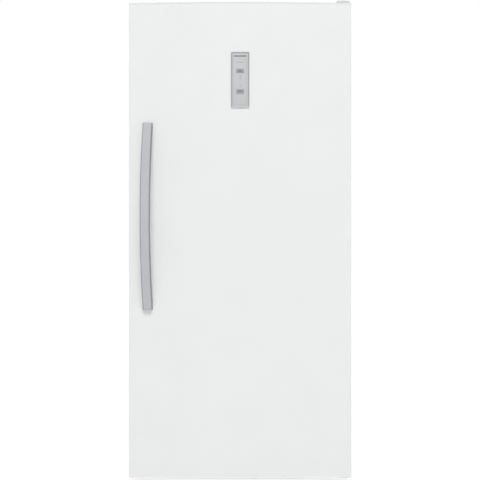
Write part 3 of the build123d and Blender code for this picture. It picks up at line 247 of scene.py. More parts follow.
def pressed(bm, x, y, z, depth, taper=0.0):
    """Presses the part of a flat face within x and z, at y, by a depth along Y."""
    sliced(bm, 0, *x)
    sliced(bm, 2, *z)
    faces = faces_within(bm, (x[0], y, z[0]), (x[1], y, z[1]))
    moved = moved_out(bm, faces, (0, depth, 0))
    if taper:
        middle = Vector((sum(x) / 2, 0, sum(z) / 2))
        size = (x[1] - x[0] - 2 * taper) / (x[1] - x[0]), 1, \
            (z[1] - z[0] - 2 * taper) / (z[1] - z[0])
        bmesh.ops.scale(bm, vec=size, space=Matrix.Translation(-middle), verts=moved)
    left = [f for f in faces if f.is_valid]
    if left:
        bmesh.ops.delete(bm, geom=left, context="FACES")


def window(bm, x, z):
    """Cuts a rectangular hole right through a plate that faces along Y."""
    sliced(bm, 0, *x)
    sliced(bm, 2, *z)
    far = 9.0
    faces = [f for f in faces_within(bm, (x[0], -far, z[0]), (x[1], far, z[1]))
             if abs(f.normal.y) > 0.9]
    rims = {e for f in faces for e in f.edges
            if sum(g in faces for g in e.link_faces) == 1}
    bmesh.ops.delete(bm, geom=faces, context="FACES")
    bmesh.ops.bridge_loops(bm, edges=[e for e in rims if e.is_valid])


def frame_sweep(half, z0, z1, y0, profile):
    """A closed profile of inward and Y steps, swept round a rectangle with mitred corners."""
    bm = bmesh.new()
    loops = []
    for inward, out in profile:
        x, low, high, y = half - inward, z0 + inward, z1 - inward, y0 + out
        corners = ((-x, y, low), (x, y, low), (x, y, high), (-x, y, high))
        ring = [bm.verts.new(p) for p in corners]
        loops.append([bm.edges.new((ring[i - 1], ring[i])) for i in range(4)])
    for first, second in zip(loops, loops[1:] + loops[:1]):
        bmesh.ops.bridge_loops(bm, edges=first + second)
    welded(bm)
    return bm


def softened(node, edge, angle=30.0, segments=2, keep=None):
    """A copy of a CAD node's mesh, merged, with its sharp edges rounded."""
    bm = bmesh.new()
    bm.from_mesh(frame["nodes"][node].data)
    bmesh.ops.remove_doubles(bm, verts=bm.verts, dist=2e-6)
    bmesh.ops.dissolve_limit(bm, angle_limit=math.radians(1.0), verts=bm.verts, edges=bm.edges,
                             delimit={"NORMAL"})
    bevel(bm, sharp_edges(bm, angle, keep), edge, segments)
    return bm


# Sizes and colours that a user would change


def length(name, description, default):
    """A size in metres that a user can change."""
    return bpy.props.FloatProperty(name=name, description=description, default=default,
                                   unit="LENGTH", precision=5)


def colour(name, description, default):
    """A colour that a user can change."""
    return bpy.props.FloatVectorProperty(name=name, description=description, size=4,
                                         subtype="COLOR", min=0.0, max=1.0,
                                         default=linear(default))


class DoorProperties(bpy.types.PropertyGroup):
    bow_radius: length("Bow radius", "Radius of the bowed door front", 4.399)
    corner_radius: length("Corner radius", "Fold radius at the skin's front corners", 0.005)
    ring_radius: length("Ring radius", "Rounding of the raised ring inside the door", 0.005)
    paint: colour("Paint", "Paint of the door skin and the cabinet", "#EEF0EF")


class HandleProperties(bpy.types.PropertyGroup):
    edge_radius: length("Edge radius", "Rounding along the handle", 0.0025)
    outer_slope: length("Outer slope", "How far the side near the door's edge leans in", 0.0055)
    inner_slope: length("Inner slope", "How far the other side leans in", 0.0038)
    end_depth: length("End depth", "Depth of the handle at its two ends", 0.018)
    finger_gap: length("Finger gap", "Room behind the middle of the handle", 0.044)
    foot: length("Foot", "Length of each end that lies on the door", 0.034)
    silver: colour("Silver", "Silver paint of the handle", "#C0C2C5")
    # The darker silver of the sides is painted shade: it stands for the shade on the sides that
    # turn away from the light.
    sides: colour("Sides", "Darker silver on the sides of the handle", "#A6A8AC")


class PanelProperties(bpy.types.PropertyGroup):
    edge: length("Edge", "Rounding of the panel frame's outer edge", 0.0009)
    slope: length("Slope", "How far the panel frame falls towards the fascia", 0.0012)
    groove: length("Groove", "Gap between the panel frame's slope and the fascia", 0.0003)
    frame: colour("Frame", "Silver paint of the panel frame", "#ACAEAF")
    fascia: colour("Fascia", "Printed film of the fascia", "#CDCFD0")
    key: colour("Key", "Film over the two keys", "#A6A7AA")
    ink: colour("Ink", "Ink of the dark marks", "#8C8D90")
    pale_ink: colour("Pale ink", "Ink of the faint marks", "#A6A7AA")


class CabinetProperties(bpy.types.PropertyGroup):
    fold_radius: length("Fold radius", "Outside fold of the cabinet sheet", 0.003)
    liner_radius: length("Liner radius", "Corner radius of the formed liner", 0.012)
    liner: colour("Liner", "Formed plastic of the liner", "#EEF0F0")


class StageProperties(bpy.types.PropertyGroup):
    distance: length("Distance", "From the camera to the door's side edges", 3.1)
    scale: length("Picture scale", "Width of one picture element at the door's edges", 0.003766)
    horizon: length("Horizon", "Height of the camera over the middle of the door", 0.0915)


# Materials


def build_materials(scene):
    door, handle, panel = (scene.refrigerator_door, scene.refrigerator_handle,
                           scene.refrigerator_panel)
    # Sheet steel painted on the coil: satin, with an orange peel whose ripples are 2 mm across
    # and only soften what it reflects.
    textured("prepainted_steel_white", (door.paint, "#ECEEED"), 0.36, 0.002, 0.00001,
             **{"Coat Weight": 0.12, "Coat Roughness": 0.3})
    # Moulded ABS under a silver paint: fine flakes, drawn 0.7 mm wide so that they show, make
    # a soft sheen that is darker on the sides that turn away.
    textured("silver_painted_abs", (handle.silver, "#BCBEC2"), 0.42, 0.0007, 0.000006,
             change=0.1, **{"Specular IOR Level": 0.3})
    # The handle's sides get a darker, fully matt silver as painted shade, so that they stay
    # dark where they turn away from the light and are seen at a flat angle.
    textured("silver_sides_painted_shade", (handle.sides, "#A0A3A7"), 0.7, 0.0007, 0.000006,
             change=0.1, **{"Specular IOR Level": 0.0})
    # The same silver paint on the small frame of the control panel.
    textured("silver_painted_frame", (panel.frame, "#A8AAAB"), 0.45, 0.0006, 0.000006,
             change=0.1, **{"Specular IOR Level": 0.3})
    # The frame's lower bar, painted as light as the film next to it: painted light for the
    # light that falls on the bar's upward slope.
    textured("silver_frame_painted_light", ("#D2D4D5", "#CED0D1"), 0.45, 0.0006, 0.000006,
             change=0.1, **{"Specular IOR Level": 0.3})
    # Polyester film printed silver on its back: an even tone under a fine matt grain.
    textured("printed_polyester_film", (panel.fascia, "#CBCDCE"), 0.42, 0.0005, 0.000004)
    # The same film over the keys, domed and a tone darker.
    textured("domed_polyester_film", (panel.key, "#A1A2A6"), 0.42, 0.0005, 0.000004)
    # Screen-printed ink: matt, with slightly uneven cover.
    textured("screen_printed_ink", (panel.ink, "#838487"), 0.55, 0.0006, 0.000003)
    textured("screen_printed_pale_ink", (panel.pale_ink, "#A0A1A5"), 0.55, 0.0006, 0.000003)
    # Smoked acrylic: a dark, smooth strip.
    textured("smoked_acrylic", ("#88898C", "#808184"), 0.25, 0.001, 0.000001,
             **{"IOR": 1.49, "Coat Weight": 0.3})
    # Injection-moulded ABS with a spark-eroded texture of about half a millimetre.
    textured("moulded_abs_white", ("#EDEEED", "#E9EAE9"), 0.42, 0.0006, 0.000012)
    textured("moulded_abs_light_grey", ("#DBDDDF", "#D6D8DA"), 0.42, 0.0006, 0.000012)
    # High-impact polystyrene drawn over a mould: smooth and glossy, with slow ripples.
    textured("formed_polystyrene_white", (scene.refrigerator_cabinet.liner, "#EBEDED"), 0.24,
             0.006, 0.00002, **{"Coat Weight": 0.2, "Coat Roughness": 0.12})
    # Clear moulded polystyrene: glossy and slightly blue, with flow lines a few mm apart. Its
    # walls are too thin to bend the view, so it is see-through without refraction.
    textured("clear_polystyrene", ("#EEF4F7", "#E8F0F4"), 0.1, 0.004, 0.00002, change=0.04,
             **{"IOR": 1.59, "Alpha": 0.34})
    # Tempered float glass: flat faces nearly without colour, cut edges deep green.
    textured("tempered_glass", ("#EFF8F4", "#ECF6F2"), 0.03, 0.02, 0.00001, change=0.01,
             edge_colour="#6FB29A", **{"IOR": 1.52, "Transmission Weight": 0.9})
    # Zinc-plated steel: bluish grey, with the small scratches of barrel plating.
    textured("zinc_plated_steel", ("#BFC4C9", "#AEB3B8"), 0.32, 0.0012, 0.00001,
             stretch=(1, 1, 6), change=0.12, **{"Metallic": 1.0})
    # Hot-dip galvanised sheet: crystals 7 mm across that differ in tone and gloss, under the
    # dull film that zinc grows.
    textured("galvanised_sheet", ("#B9BDC1", "#A5AAAF"), 0.38, 0.007, 0.000004,
             pattern="cells", change=0.08, **{"Metallic": 0.6})
    # Stamped steel sprayed black: satin, with a fine spray grain.
    textured("black_painted_steel", ("#1B1C1E", "#242527"), 0.38, 0.0015, 0.00003,
             **{"Coat Weight": 0.2})
    # Drawn copper tube, dulled by handling in patches.
    textured("copper_tube", ("#B87456", "#9A5C43"), 0.34, 0.003, 0.00001, stretch=(1, 1, 3),
             change=0.12, **{"Metallic": 1.0})
    # Rolled aluminium fins and tube: fine lines along the rolling.
    textured("rolled_aluminium", ("#C9CCCF", "#BABEC2"), 0.35, 0.0008, 0.000008,
             stretch=(1, 8, 1), change=0.1, **{"Metallic": 1.0})
    # Nylon filled with glass fibre: black, dull, slightly fibrous.
    textured("glass_filled_nylon", ("#202123", "#2A2B2D"), 0.55, 0.0009, 0.00002,
             stretch=(3, 1, 1))
    # Polypropylene mouldings inside the machine compartment.
    textured("moulded_polypropylene_grey", ("#54585C", "#4C5054"), 0.45, 0.0008, 0.000015)
    # Moulded rubber: deep black and matt.
    textured("epdm_rubber", ("#151515", "#1D1D1D"), 0.7, 0.001, 0.00003)
    # Soft PVC extrusion of the door seal: slightly waxy, drawn lines along its length.
    textured("soft_pvc_white", ("#E3E5E5", "#DCDEDE"), 0.5, 0.0007, 0.000015)
    # Rigid polyurethane foam: pale yellow with open cells of about a millimetre.
    textured("polyurethane_foam", ("#E9DFB6", "#DED2A2"), 0.85, 0.0012, 0.0002)
    # Turned acetal: milky and slippery.
    textured("turned_acetal", ("#EFEEEA", "#E6E5E0"), 0.3, 0.0006, 0.000005)
    # Glass-fibre board under green solder mask.
    textured("circuit_board", ("#1E5A37", "#246640"), 0.35, 0.0008, 0.00001)
    # Opal polycarbonate over the lamps: it scatters the light behind it.
    textured("opal_polycarbonate", ("#F4F5F4", "#EFF1F0"), 0.35, 0.0005, 0.00001,
             **{"Subsurface Weight": 0.2, "Subsurface Radius": (0.004, 0.004, 0.004),
                "Emission Color": (1, 1, 1, 1), "Emission Strength": 0.35})


# Door


def bow_back(x, radius):
    """How far behind its crown the bowed front lies at x."""
    return radius - math.sqrt(radius * radius - x * x)


def door_block(low, high, y_rear, half, y_crown, radius, corner, edge):
    """A closed block with the door's plan: a bowed front, rounded corners, straight sides."""
    bm = bmesh.new()
    reach = math.asin(half / radius)
    start = Matrix.Rotation(-reach, 4, "Z") @ Vector((0, -radius, 0)) + Vector((0, radius, 0))
    first = bm.verts.new(start + Vector((0, y_crown, low)))
    bmesh.ops.spin(bm, geom=[first], cent=(0, y_crown + radius, low), axis=(0, 0, 1),
                   angle=2 * reach, steps=48)
    bm.verts.ensure_lookup_table()
    ends = sorted((v for v in bm.verts if len(v.link_edges) == 1), key=lambda v: v.co.x)
    rear = [bm.verts.new((v.co.x, y_rear, low)) for v in ends]
    for a, b in zip(ends, rear):
        bm.edges.new((a, b))
    bm.edges.new(rear)
    bmesh.ops.bevel(bm, geom=ends, offset=corner, offset_type="OFFSET", segments=6, profile=0.5,
                    affect="VERTICES", clamp_overlap=False, material=-1)
    bmesh.ops.contextual_create(bm, geom=bm.edges)
    moved_out(bm, bm.faces[:], (0, 0, high - low))
    welded(bm)
    rims = [e for e in bm.edges if abs(e.verts[0].co.z - e.verts[1].co.z) < NEAR
            and max(v.co.y for v in e.verts) < y_rear - 1e-5]
    bevel(bm, rims, edge, 2)
    return bm


class REFRIGERATOR_OT_door_skin(bpy.types.Operator):
    """Builds the bowed door skin and its two end caps"""
    bl_idname = "refrigerator.door_skin"
    bl_label = "Door skin and caps"

    def execute(self, context):
        door = context.scene.refrigerator_door
        skin_low, skin_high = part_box("door_skin")
        for node, piece, material, edge in (
                ("door_skin", "door_front_skin", "prepainted_steel_white", 0.0007),
                ("door_cap_top", "door_top_cap", "moulded_abs_white", 0.0009),
                ("door_cap_bottom", "door_bottom_cap", "moulded_abs_white", 0.0012)):
            low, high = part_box(node)
            z0, z1 = low.z, high.z
            if node == "door_cap_top":
                z0 = skin_high.z
            if node == "door_cap_bottom":
                z1 = skin_low.z
            bm = door_block(z0, z1, skin_high.y, skin_high.x, skin_low.y, door.bow_radius,
                            door.corner_radius, edge)
            finish(bm, piece, material, "door", [node], smooth=40.0)
        return {"FINISHED"}


class REFRIGERATOR_OT_handle(bpy.types.Operator):
    """Builds the long bowed handle bar"""
    bl_idname = "refrigerator.handle"
    bl_label = "Handle"

    def execute(self, context):
        handle = context.scene.refrigerator_handle
        bow = context.scene.refrigerator_door.bow_radius
        low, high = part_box("handle_bar")
        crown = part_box("door_skin")[0].y
        # Half the bar's width, its play on the door, and the rounding of its two ends
        half_width, play, end_edge = 0.0195, 0.0003, 0.0025
        # Where the underside is this far from the door, it no longer follows the bow
        free_height = 0.004
        centre, side_bow = high.x - half_width, high.x - low.x - 2 * half_width
        middle, half_length = (low.z + high.z) / 2, (high.z - low.z) / 2
        surface = crown + bow_back(centre, bow)
        reach = surface - low.y

        def arc(z, rise, half):
            """Height over its chord of an arc that rises by rise over half its chord."""
            radius = (half * half + rise * rise) / (2 * rise)
            across = min(abs(z - middle), half)
            return math.sqrt(radius * radius - across * across) - (radius - rise)

        bm = boxed((-0.5, -0.5, -0.5), (0.5, 0.5, 0.5))
        upright = [e for e in bm.edges if abs(e.verts[0].co.z - e.verts[1].co.z) > 0.5]
        bmesh.ops.subdivide_edges(bm, edges=upright, cuts=63, use_grid_fill=True)
        for v in bm.verts:
            z = low.z + (v.co.z + 0.5) * (high.z - low.z)
            lean = handle.outer_slope if v.co.x < 0 else handle.inner_slope
            half = half_width - (lean if v.co.y < 0 else 0.0)
            v.co.x = centre + math.copysign(half, v.co.x) - arc(z, side_bow, half_length)
            if v.co.y < 0:
                v.co.y = surface - handle.end_depth - arc(z, reach - handle.end_depth,
                                                          half_length)
            else:
                free = half_length - handle.foot
                inner = arc(z, handle.finger_gap, free) if abs(z - middle) < free else 0.0
                on_door = crown + bow_back(v.co.x, bow) + play
                seat = surface if inner > free_height else on_door
                v.co.y = seat - inner
            v.co.z = z
        welded(bm)
        long_edges = sharp_edges(bm, 34, lambda a, b: abs(a.z - b.z) > 1e-4
                                 and max(a.y, b.y) < surface - 0.002)
        bevel(bm, long_edges, handle.edge_radius, 4)
        ends = sharp_edges(bm, 50, lambda a, b: max(a.y, b.y) < surface - 0.001
                           and min(abs(a.z - e) for e in (low.z, high.z)) < 1e-4)
        bevel(bm, ends, end_edge, 3)
        bm.normal_update()
        # The faces that turn to the sides take the darker silver of painted shade.
        for f in bm.faces:
            f.material_index = int(abs(f.normal.x) > 0.85)
        finish(bm, "handle", ("silver_painted_abs", "silver_sides_painted_shade"), "door",
               ["handle_bar"], smooth=50.0)
        return {"FINISHED"}


# Control panel


def slab(node, corner, edge, segments=2):
    """A node's box as a plate that faces the front, with round corners and softened rims."""
    low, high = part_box(node)
    bm = boxed(low, high, corner, 4, lambda a, b: abs(a.y - b.y) > 1e-4)
    bevel(bm, sharp_edges(bm, 30, lambda a, b: max(a.y, b.y) < low.y + NEAR), edge, segments)
    return bm, low, high


def prism_into(bm, points, along):
    """Adds an outline carried along a vector."""
    moved_out(bm, [bm.faces.new([bm.verts.new(p) for p in points])], along)


def mark_into(bm, points, x, y, z, thickness=0.00012):
    """Prints an outline, in millimetres from its middle, on a face at y."""
    prism_into(bm, [(x + u * MM, y, z + v * MM) for u, v in points], (0, -thickness, 0))


def bar_into(bm, width, height, x, y, z):
    """Prints a bar of so many millimetres on a face at y."""
    w, h = width / 2, height / 2
    mark_into(bm, ((-w, -h), (w, -h), (w, h), (-w, h)), x, y, z)


def digit_into(bm, lit, x, y, z, width=8.0, height=15.0, stroke=1.5):
    """A seven-segment digit from the letters of the segments that are lit."""
    w, h = (width - stroke) / 2, (height - stroke) / 2
    places = {"a": (0, h), "b": (w, h / 2), "c": (w, -h / 2), "d": (0, -h), "e": (-w, -h / 2),
              "f": (-w, h / 2), "g": (0, 0)}
    lying = "adg"
    for name in lit:
        across = name in lying
        u, v = places[name]
        bar_into(bm, width - 2 * stroke if across else stroke,
                 stroke if across else h - stroke / 2, x + u * MM, y, z + v * MM)


class REFRIGERATOR_OT_control_panel(bpy.types.Operator):
    """Builds the frame, the fascia, the two keys and the marks of the control panel"""
    bl_idname = "refrigerator.control_panel"
    bl_label = "Control panel"

    def execute(self, context):
        panel = context.scene.refrigerator_panel
        bm, low, high = slab("control_bezel", 0.003, panel.edge, 2)
        front = [f for f in bm.faces if f.normal.y < -0.99]
        slope = high.x - panel.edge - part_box("control_fascia")[1].x - panel.groove
        bmesh.ops.inset_region(bm, faces=front, thickness=slope, depth=-panel.slope,
                               use_even_offset=True)
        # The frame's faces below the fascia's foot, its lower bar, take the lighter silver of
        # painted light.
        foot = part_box("control_fascia")[0].z
        for f in bm.faces:
            f.material_index = int(f.calc_center_median().z < foot)
        finish(bm, "panel_frame", ("silver_painted_frame", "silver_frame_painted_light"), "door",
               ["control_bezel"], smooth=25.0)

        corner = 0.0018
        bm, low, high = slab("control_fascia", corner, 0.0003)
        # The slot near the top, and the dark strip that lies in it
        top, slot_depth, play = high.z - 0.010, 0.0008, 0.0002
        w, h = 0.0235, 0.0025
        pressed(bm, (-w, w), low.y, (top - h, top + h), slot_depth)
        bevel(bm, sharp_edges(bm, 60, lambda a, b: abs(a.y - b.y) > slot_depth / 2
                              and abs(a.z - top) < h + 5e-4), corner, 4)
        finish(bm, "panel_fascia", "printed_polyester_film", "door", ["control_fascia"])
        w, h = w - play, h - play
        bm = boxed((-w, low.y + 0.0004, top - h), (w, low.y + 0.0009, top + h), 0.0002)
        finish(bm, "panel_lamp_strip", "smoked_acrylic", "door")

        y = low.y
        dark, pale = bmesh.new(), bmesh.new()
        bmesh.ops.create_circle(dark, cap_ends=True, segments=16, radius=0.0016,
                                matrix=Matrix.Translation((0.0155, y - 0.0001, top - 0.013))
                                @ Matrix.Rotation(math.pi / 2, 4, "X"))
        # Width, height, place across and distance below the slot of each faint bar, in mm
        for width, height, x, z in ((24, 2.0, -1.5, 23.5), (30, 1.4, -1, 143.0),
                                    (0.6, 174, -23.5, 93), (0.6, 174, 24.0, 93),
                                    (47.5, 0.6, 0.3, 180.5)):
            bar_into(pale, width, height, x * MM, y, top - z * MM)
        digit_into(pale, "abcdg", 0, y, top - 0.0797)
        digit_into(pale, "abc", 0, y, top - 0.1115)
        for bm in (dark, pale):
            bmesh.ops.recalc_face_normals(bm, faces=bm.faces)
        finish(dark, "panel_lamp_dot", "screen_printed_ink", "door")
        finish(pale, "panel_faint_marks", "screen_printed_pale_ink", "door")

        for way, node in ((1, "key_up"), (-1, "key_down")):
            bm, low, high = slab(node, 0.0022, 0.0004)
            finish(bm, node + "_cap", "domed_polyester_film", node, [node])
            bm = bmesh.new()
            x, z = (low.x + high.x) / 2, (low.z + high.z) / 2
            mark_into(bm, ((-10, -3.6 * way), (10, -3.6 * way), (4.5, 3.0 * way),
                           (0, 4.8 * way), (-4.5, 3.0 * way)), x, low.y, z)
            welded(bm)
            finish(bm, node + "_mark", "screen_printed_ink", node)
        return {"FINISHED"}


# Inside of the door

DOOR_BINS = range(1, 6)


class REFRIGERATOR_OT_door_inside(bpy.types.Operator):
    """Builds the door's liner with its raised ring, the seal, the bins and the lid"""
    bl_idname = "refrigerator.door_inside"
    bl_label = "Inside of the door"

    def execute(self, context):
        low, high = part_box("door_liner")
        sheet, into_wall = 0.0015, 0.0005
        base, tip = low.y + sheet, high.y
        # The raised ring: half its width, its thickness, and its lower and upper end
        half, wall, z0, z1 = 0.357, 0.025, 0.100, 1.759
        bm = boxed(low, (high.x, base, high.z))
        sliced(bm, 0, -half, wall - half, half - wall, half)
        sliced(bm, 2, z0, z0 + wall, z1 - wall, z1)
        inner = faces_within(bm, (wall - half, base, z0 + wall),
                             (half - wall, base, z1 - wall))
        ring = [f for f in faces_within(bm, (-half, base, z0), (half, base, z1))
                if f not in inner]
        moved_out(bm, ring, (0, tip - base, 0))
        bmesh.ops.delete(bm, geom=[f for f in ring if f.is_valid], context="FACES")
        bevel(bm, sharp_edges(bm, 30, lambda a, b: max(a.y, b.y) > base - NEAR
                              and max(abs(a.x), abs(b.x)) < half + 0.001
                              and min(a.z, b.z) > z0 - 0.001 and max(a.z, b.z) < z1 + 0.001),
              context.scene.refrigerator_door.ring_radius, 3)
        # The ledges that the bins hang on: their height over a bin's floor, and their size
        lift, reach, overlap, height, short = 0.0697, 0.005, 0.002, 0.006, 0.005
        for i in DOOR_BINS:
            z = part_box(f"door_bin_{i}")[0].z + lift
            for side in (-1, 1):
                xs = sorted((side * (half - wall - reach), side * (half - wall + overlap)))
                box_into(bm, (xs[0], base - into_wall, z - height), (xs[1], tip - short, z),
                         0.0012)
        finish(bm, "door_inner_liner", "formed_polystyrene_white", "door", ["door_liner"],
               smooth=40.0)

        low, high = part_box("door_gasket")
        deep = high.y - low.y
        # The seal's section: millimetres inward, and shares of its depth
        profile = [(u * MM, v * deep) for u, v in (
            (0, 0), (0, 0.26), (1.6, 0.34), (1.6, 0.52), (0.4, 0.62), (0.4, 0.93), (1.0, 1.0),
            (13.4, 1.0), (14.0, 0.93), (14.0, 0.62), (12.4, 0.52), (12.4, 0.36), (19.4, 0.22),
            (20, 0.1), (20, 0))]
        bm = frame_sweep(high.x, low.z, high.z, low.y, profile)
        finish(bm, "door_seal", "soft_pvc_white", "door", ["door_gasket"], smooth=25.0)

        for i in DOOR_BINS:
            node = f"door_bin_{i}"
            finish(softened(node, 0.0008), f"bin_{i}_tray", "clear_polystyrene", node, [node])
        finish(softened("dairy_lid", 0.0006), "dairy_lid_flap", "clear_polystyrene",
               "dairy_lid", ["dairy_lid"])
        return {"FINISHED"}


# Outside of the cabinet


class REFRIGERATOR_OT_cabinet_outside(bpy.types.Operator):
    """Builds the folded cabinet sheet, the pressed back panel and the rear cover"""
    bl_idname = "refrigerator.cabinet_outside"
    bl_label = "Outside of the cabinet"

    def execute(self, context):
        fold = context.scene.refrigerator_cabinet.fold_radius
        low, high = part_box("cabinet_shell")
        bm = boxed(low, high)
        # The opening: half its width, its sill and its lintel; and the sheet's thickness
        half, sill, lintel, sheet = 0.383, 0.072, 1.791, 0.0008
        face = next(f for f in bm.faces if f.normal.y < -0.9)
        bmesh.ops.inset_region(bm, faces=[face], thickness=0.03, use_even_offset=True)
        for v in face.verts:
            v.co.x = math.copysign(half, v.co.x)
            v.co.z = sill if v.co.z < 1 else lintel
        gone = [face] + [f for f in bm.faces if f.normal.y > 0.9 or f.normal.z < -0.9]
        bmesh.ops.delete(bm, geom=gone, context="FACES")
        bevel(bm, sharp_edges(bm, 30), fold, 3)
        bmesh.ops.recalc_face_normals(bm, faces=bm.faces)
        top = max(bm.faces, key=lambda f: f.calc_center_median().z)
        if top.normal.z < 0:
            bmesh.ops.reverse_faces(bm, faces=bm.faces)
        bmesh.ops.solidify(bm, geom=bm.faces[:], thickness=sheet)
        finish(bm, "cabinet_wrapper", "prepainted_steel_white", "cabinet", ["cabinet_shell"])

        low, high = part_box("cabinet_back_panel")
        bm = boxed(low, high)
        # Swages: their count, half their width and height, and the depth that the sheet allows
        count, across, swage, depth, taper = 7, 0.33, 0.013, 0.0007, 0.004
        pitch = (high.z - low.z) / (count + 1)
        for i in range(count):
            z = low.z + (i + 1) * pitch
            pressed(bm, (-across, across), high.y, (z - swage, z + swage), -depth, taper)
        finish(bm, "back_panel_sheet", "galvanised_sheet", "cabinet", ["cabinet_back_panel"])

        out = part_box("rear_cover")[1].y
        middle = sum(corner.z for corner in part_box("rear_cover")) / 2
        # Louvre hoods: their width, the pitch of their rows, and their section in millimetres
        width, pitch = 0.231, 0.014
        section = ((-0.3, 4.4), (0.7, 4.0), (1.2, 3.2), (1.4, 2.2), (1.4, 0.4), (0.9, 0.4),
                   (0.8, 2.2), (-0.3, 2.8))
        hoods = bmesh.new()
        for column in (-0.262, 0.0, 0.262):
            for row in range(-4, 5):
                z = middle + row * pitch
                prism_into(hoods, [(column - width / 2, out + y * MM, z + h * MM)
                                   for y, h in section], (width, 0, 0))
        bmesh.ops.recalc_face_normals(hoods, faces=hoods.faces)
        finish(hoods, "rear_louvre_hoods", "galvanised_sheet", "cabinet", smooth=40.0)
        finish(softened("top_hinge_cover", 0.0005), "hinge_cover_cap", "moulded_abs_light_grey",
               "cabinet", ["top_hinge_cover"])
        return {"FINISHED"}


# Inside of the cabinet

SHELF_HEIGHTS = (1.380, 1.040, 0.700)
CRISPER_RAIL_FRONT = -0.12975


def ledge_pair_into(bm, half, y, z, edge, segments):
    """Adds a ledge to each side wall, at half the cavity's width, with its root in the wall."""
    reach, root = 0.012, 0.001
    for side in (-1, 1):
        xs = sorted((side * (half - reach), side * (half + root)))
        box_into(bm, (xs[0], y[0], z[0]), (xs[1], y[1], z[1]), edge, segments)


class REFRIGERATOR_OT_cabinet_inside(bpy.types.Operator):
    """Builds the formed liner with its ledges, and the pieces that hang in it"""
    bl_idname = "refrigerator.cabinet_inside"
    bl_label = "Inside of the cabinet"

    def execute(self, context):
        cabinet = context.scene.refrigerator_cabinet
        low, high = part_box("cabinet_liner")
        # The cavity: half its width, and its places along Y and Z, with a hump over the
        # machine compartment
        half, sheet = 0.367, 0.0015
        front, rear, hump = low.y, 0.32815, 0.14315
        floor, step, ceiling = 0.086, 0.265, 1.765
        bm = extruded([(-half, y, z) for y, z in (
            (front, floor), (hump, floor), (hump, step), (rear, step), (rear, ceiling),
            (front, ceiling))], (2 * half, 0, 0))
        mouth = next(f for f in bm.faces if f.normal.y < -0.9
                     and abs(f.calc_center_median().y - front) < 1e-5)
        rim = list(mouth.edges)
        bmesh.ops.delete(bm, geom=[mouth], context="FACES_ONLY")
        made = bmesh.ops.extrude_edge_only(bm, edges=rim)
        for v in (g for g in made["geom"] if isinstance(g, bmesh.types.BMVert)):
            v.co.x = math.copysign(high.x, v.co.x)
            v.co.z = high.z if v.co.z > 1 else low.z
        bevel(bm, sharp_edges(bm, 30, lambda a, b: max(a.y, b.y) > front + 1e-4),
              cabinet.liner_radius, 4)
        bevel(bm, sharp_edges(bm, 60, lambda a, b: max(a.y, b.y) < front + 1e-4), 0.004, 3)
        bmesh.ops.recalc_face_normals(bm, faces=bm.faces)
        ceiling_face = max(bm.faces, key=lambda f: f.calc_area())
        cavity = Vector((0, 0, 0.9))
        if ceiling_face.normal.dot(cavity - ceiling_face.calc_center_median()) < 0:
            bmesh.ops.reverse_faces(bm, faces=bm.faces)
        bmesh.ops.solidify(bm, geom=bm.faces[:], thickness=sheet)
        for z in SHELF_HEIGHTS:
            ledge_pair_into(bm, half, (-0.12355, 0.24985), (z - 0.010, z), 0.0022, 3)
        # The rails under the crispers' lips, and those under their cover
        for z in ((0.3167, 0.3267), (0.3312, 0.336)):
            ledge_pair_into(bm, half, (CRISPER_RAIL_FRONT, 0.28765), z, 0.0012, 2)
        finish(bm, "cabinet_inner_liner", "formed_polystyrene_white", "cabinet",
               ["cabinet_liner"], smooth=40.0)
        abs_white = "moulded_abs_white"
        for node, piece, edge, material in (
                ("evaporator_cover", "evaporator_air_cover", 0.0009, abs_white),
                ("shelf_trim_1", "shelf_trims_1", 0.0012, abs_white),
                ("shelf_trim_2", "shelf_trims_2", 0.0012, abs_white),
                ("shelf_trim_3", "shelf_trims_3", 0.0012, abs_white),
                ("crisper_cover_frame", "crisper_cover_rim", 0.0012, abs_white),
                ("led_light_lens", "lamp_lens", 0.001, "opal_polycarbonate")):
            finish(softened(node, edge), piece, material, "cabinet", [node])
        return {"FINISHED"}


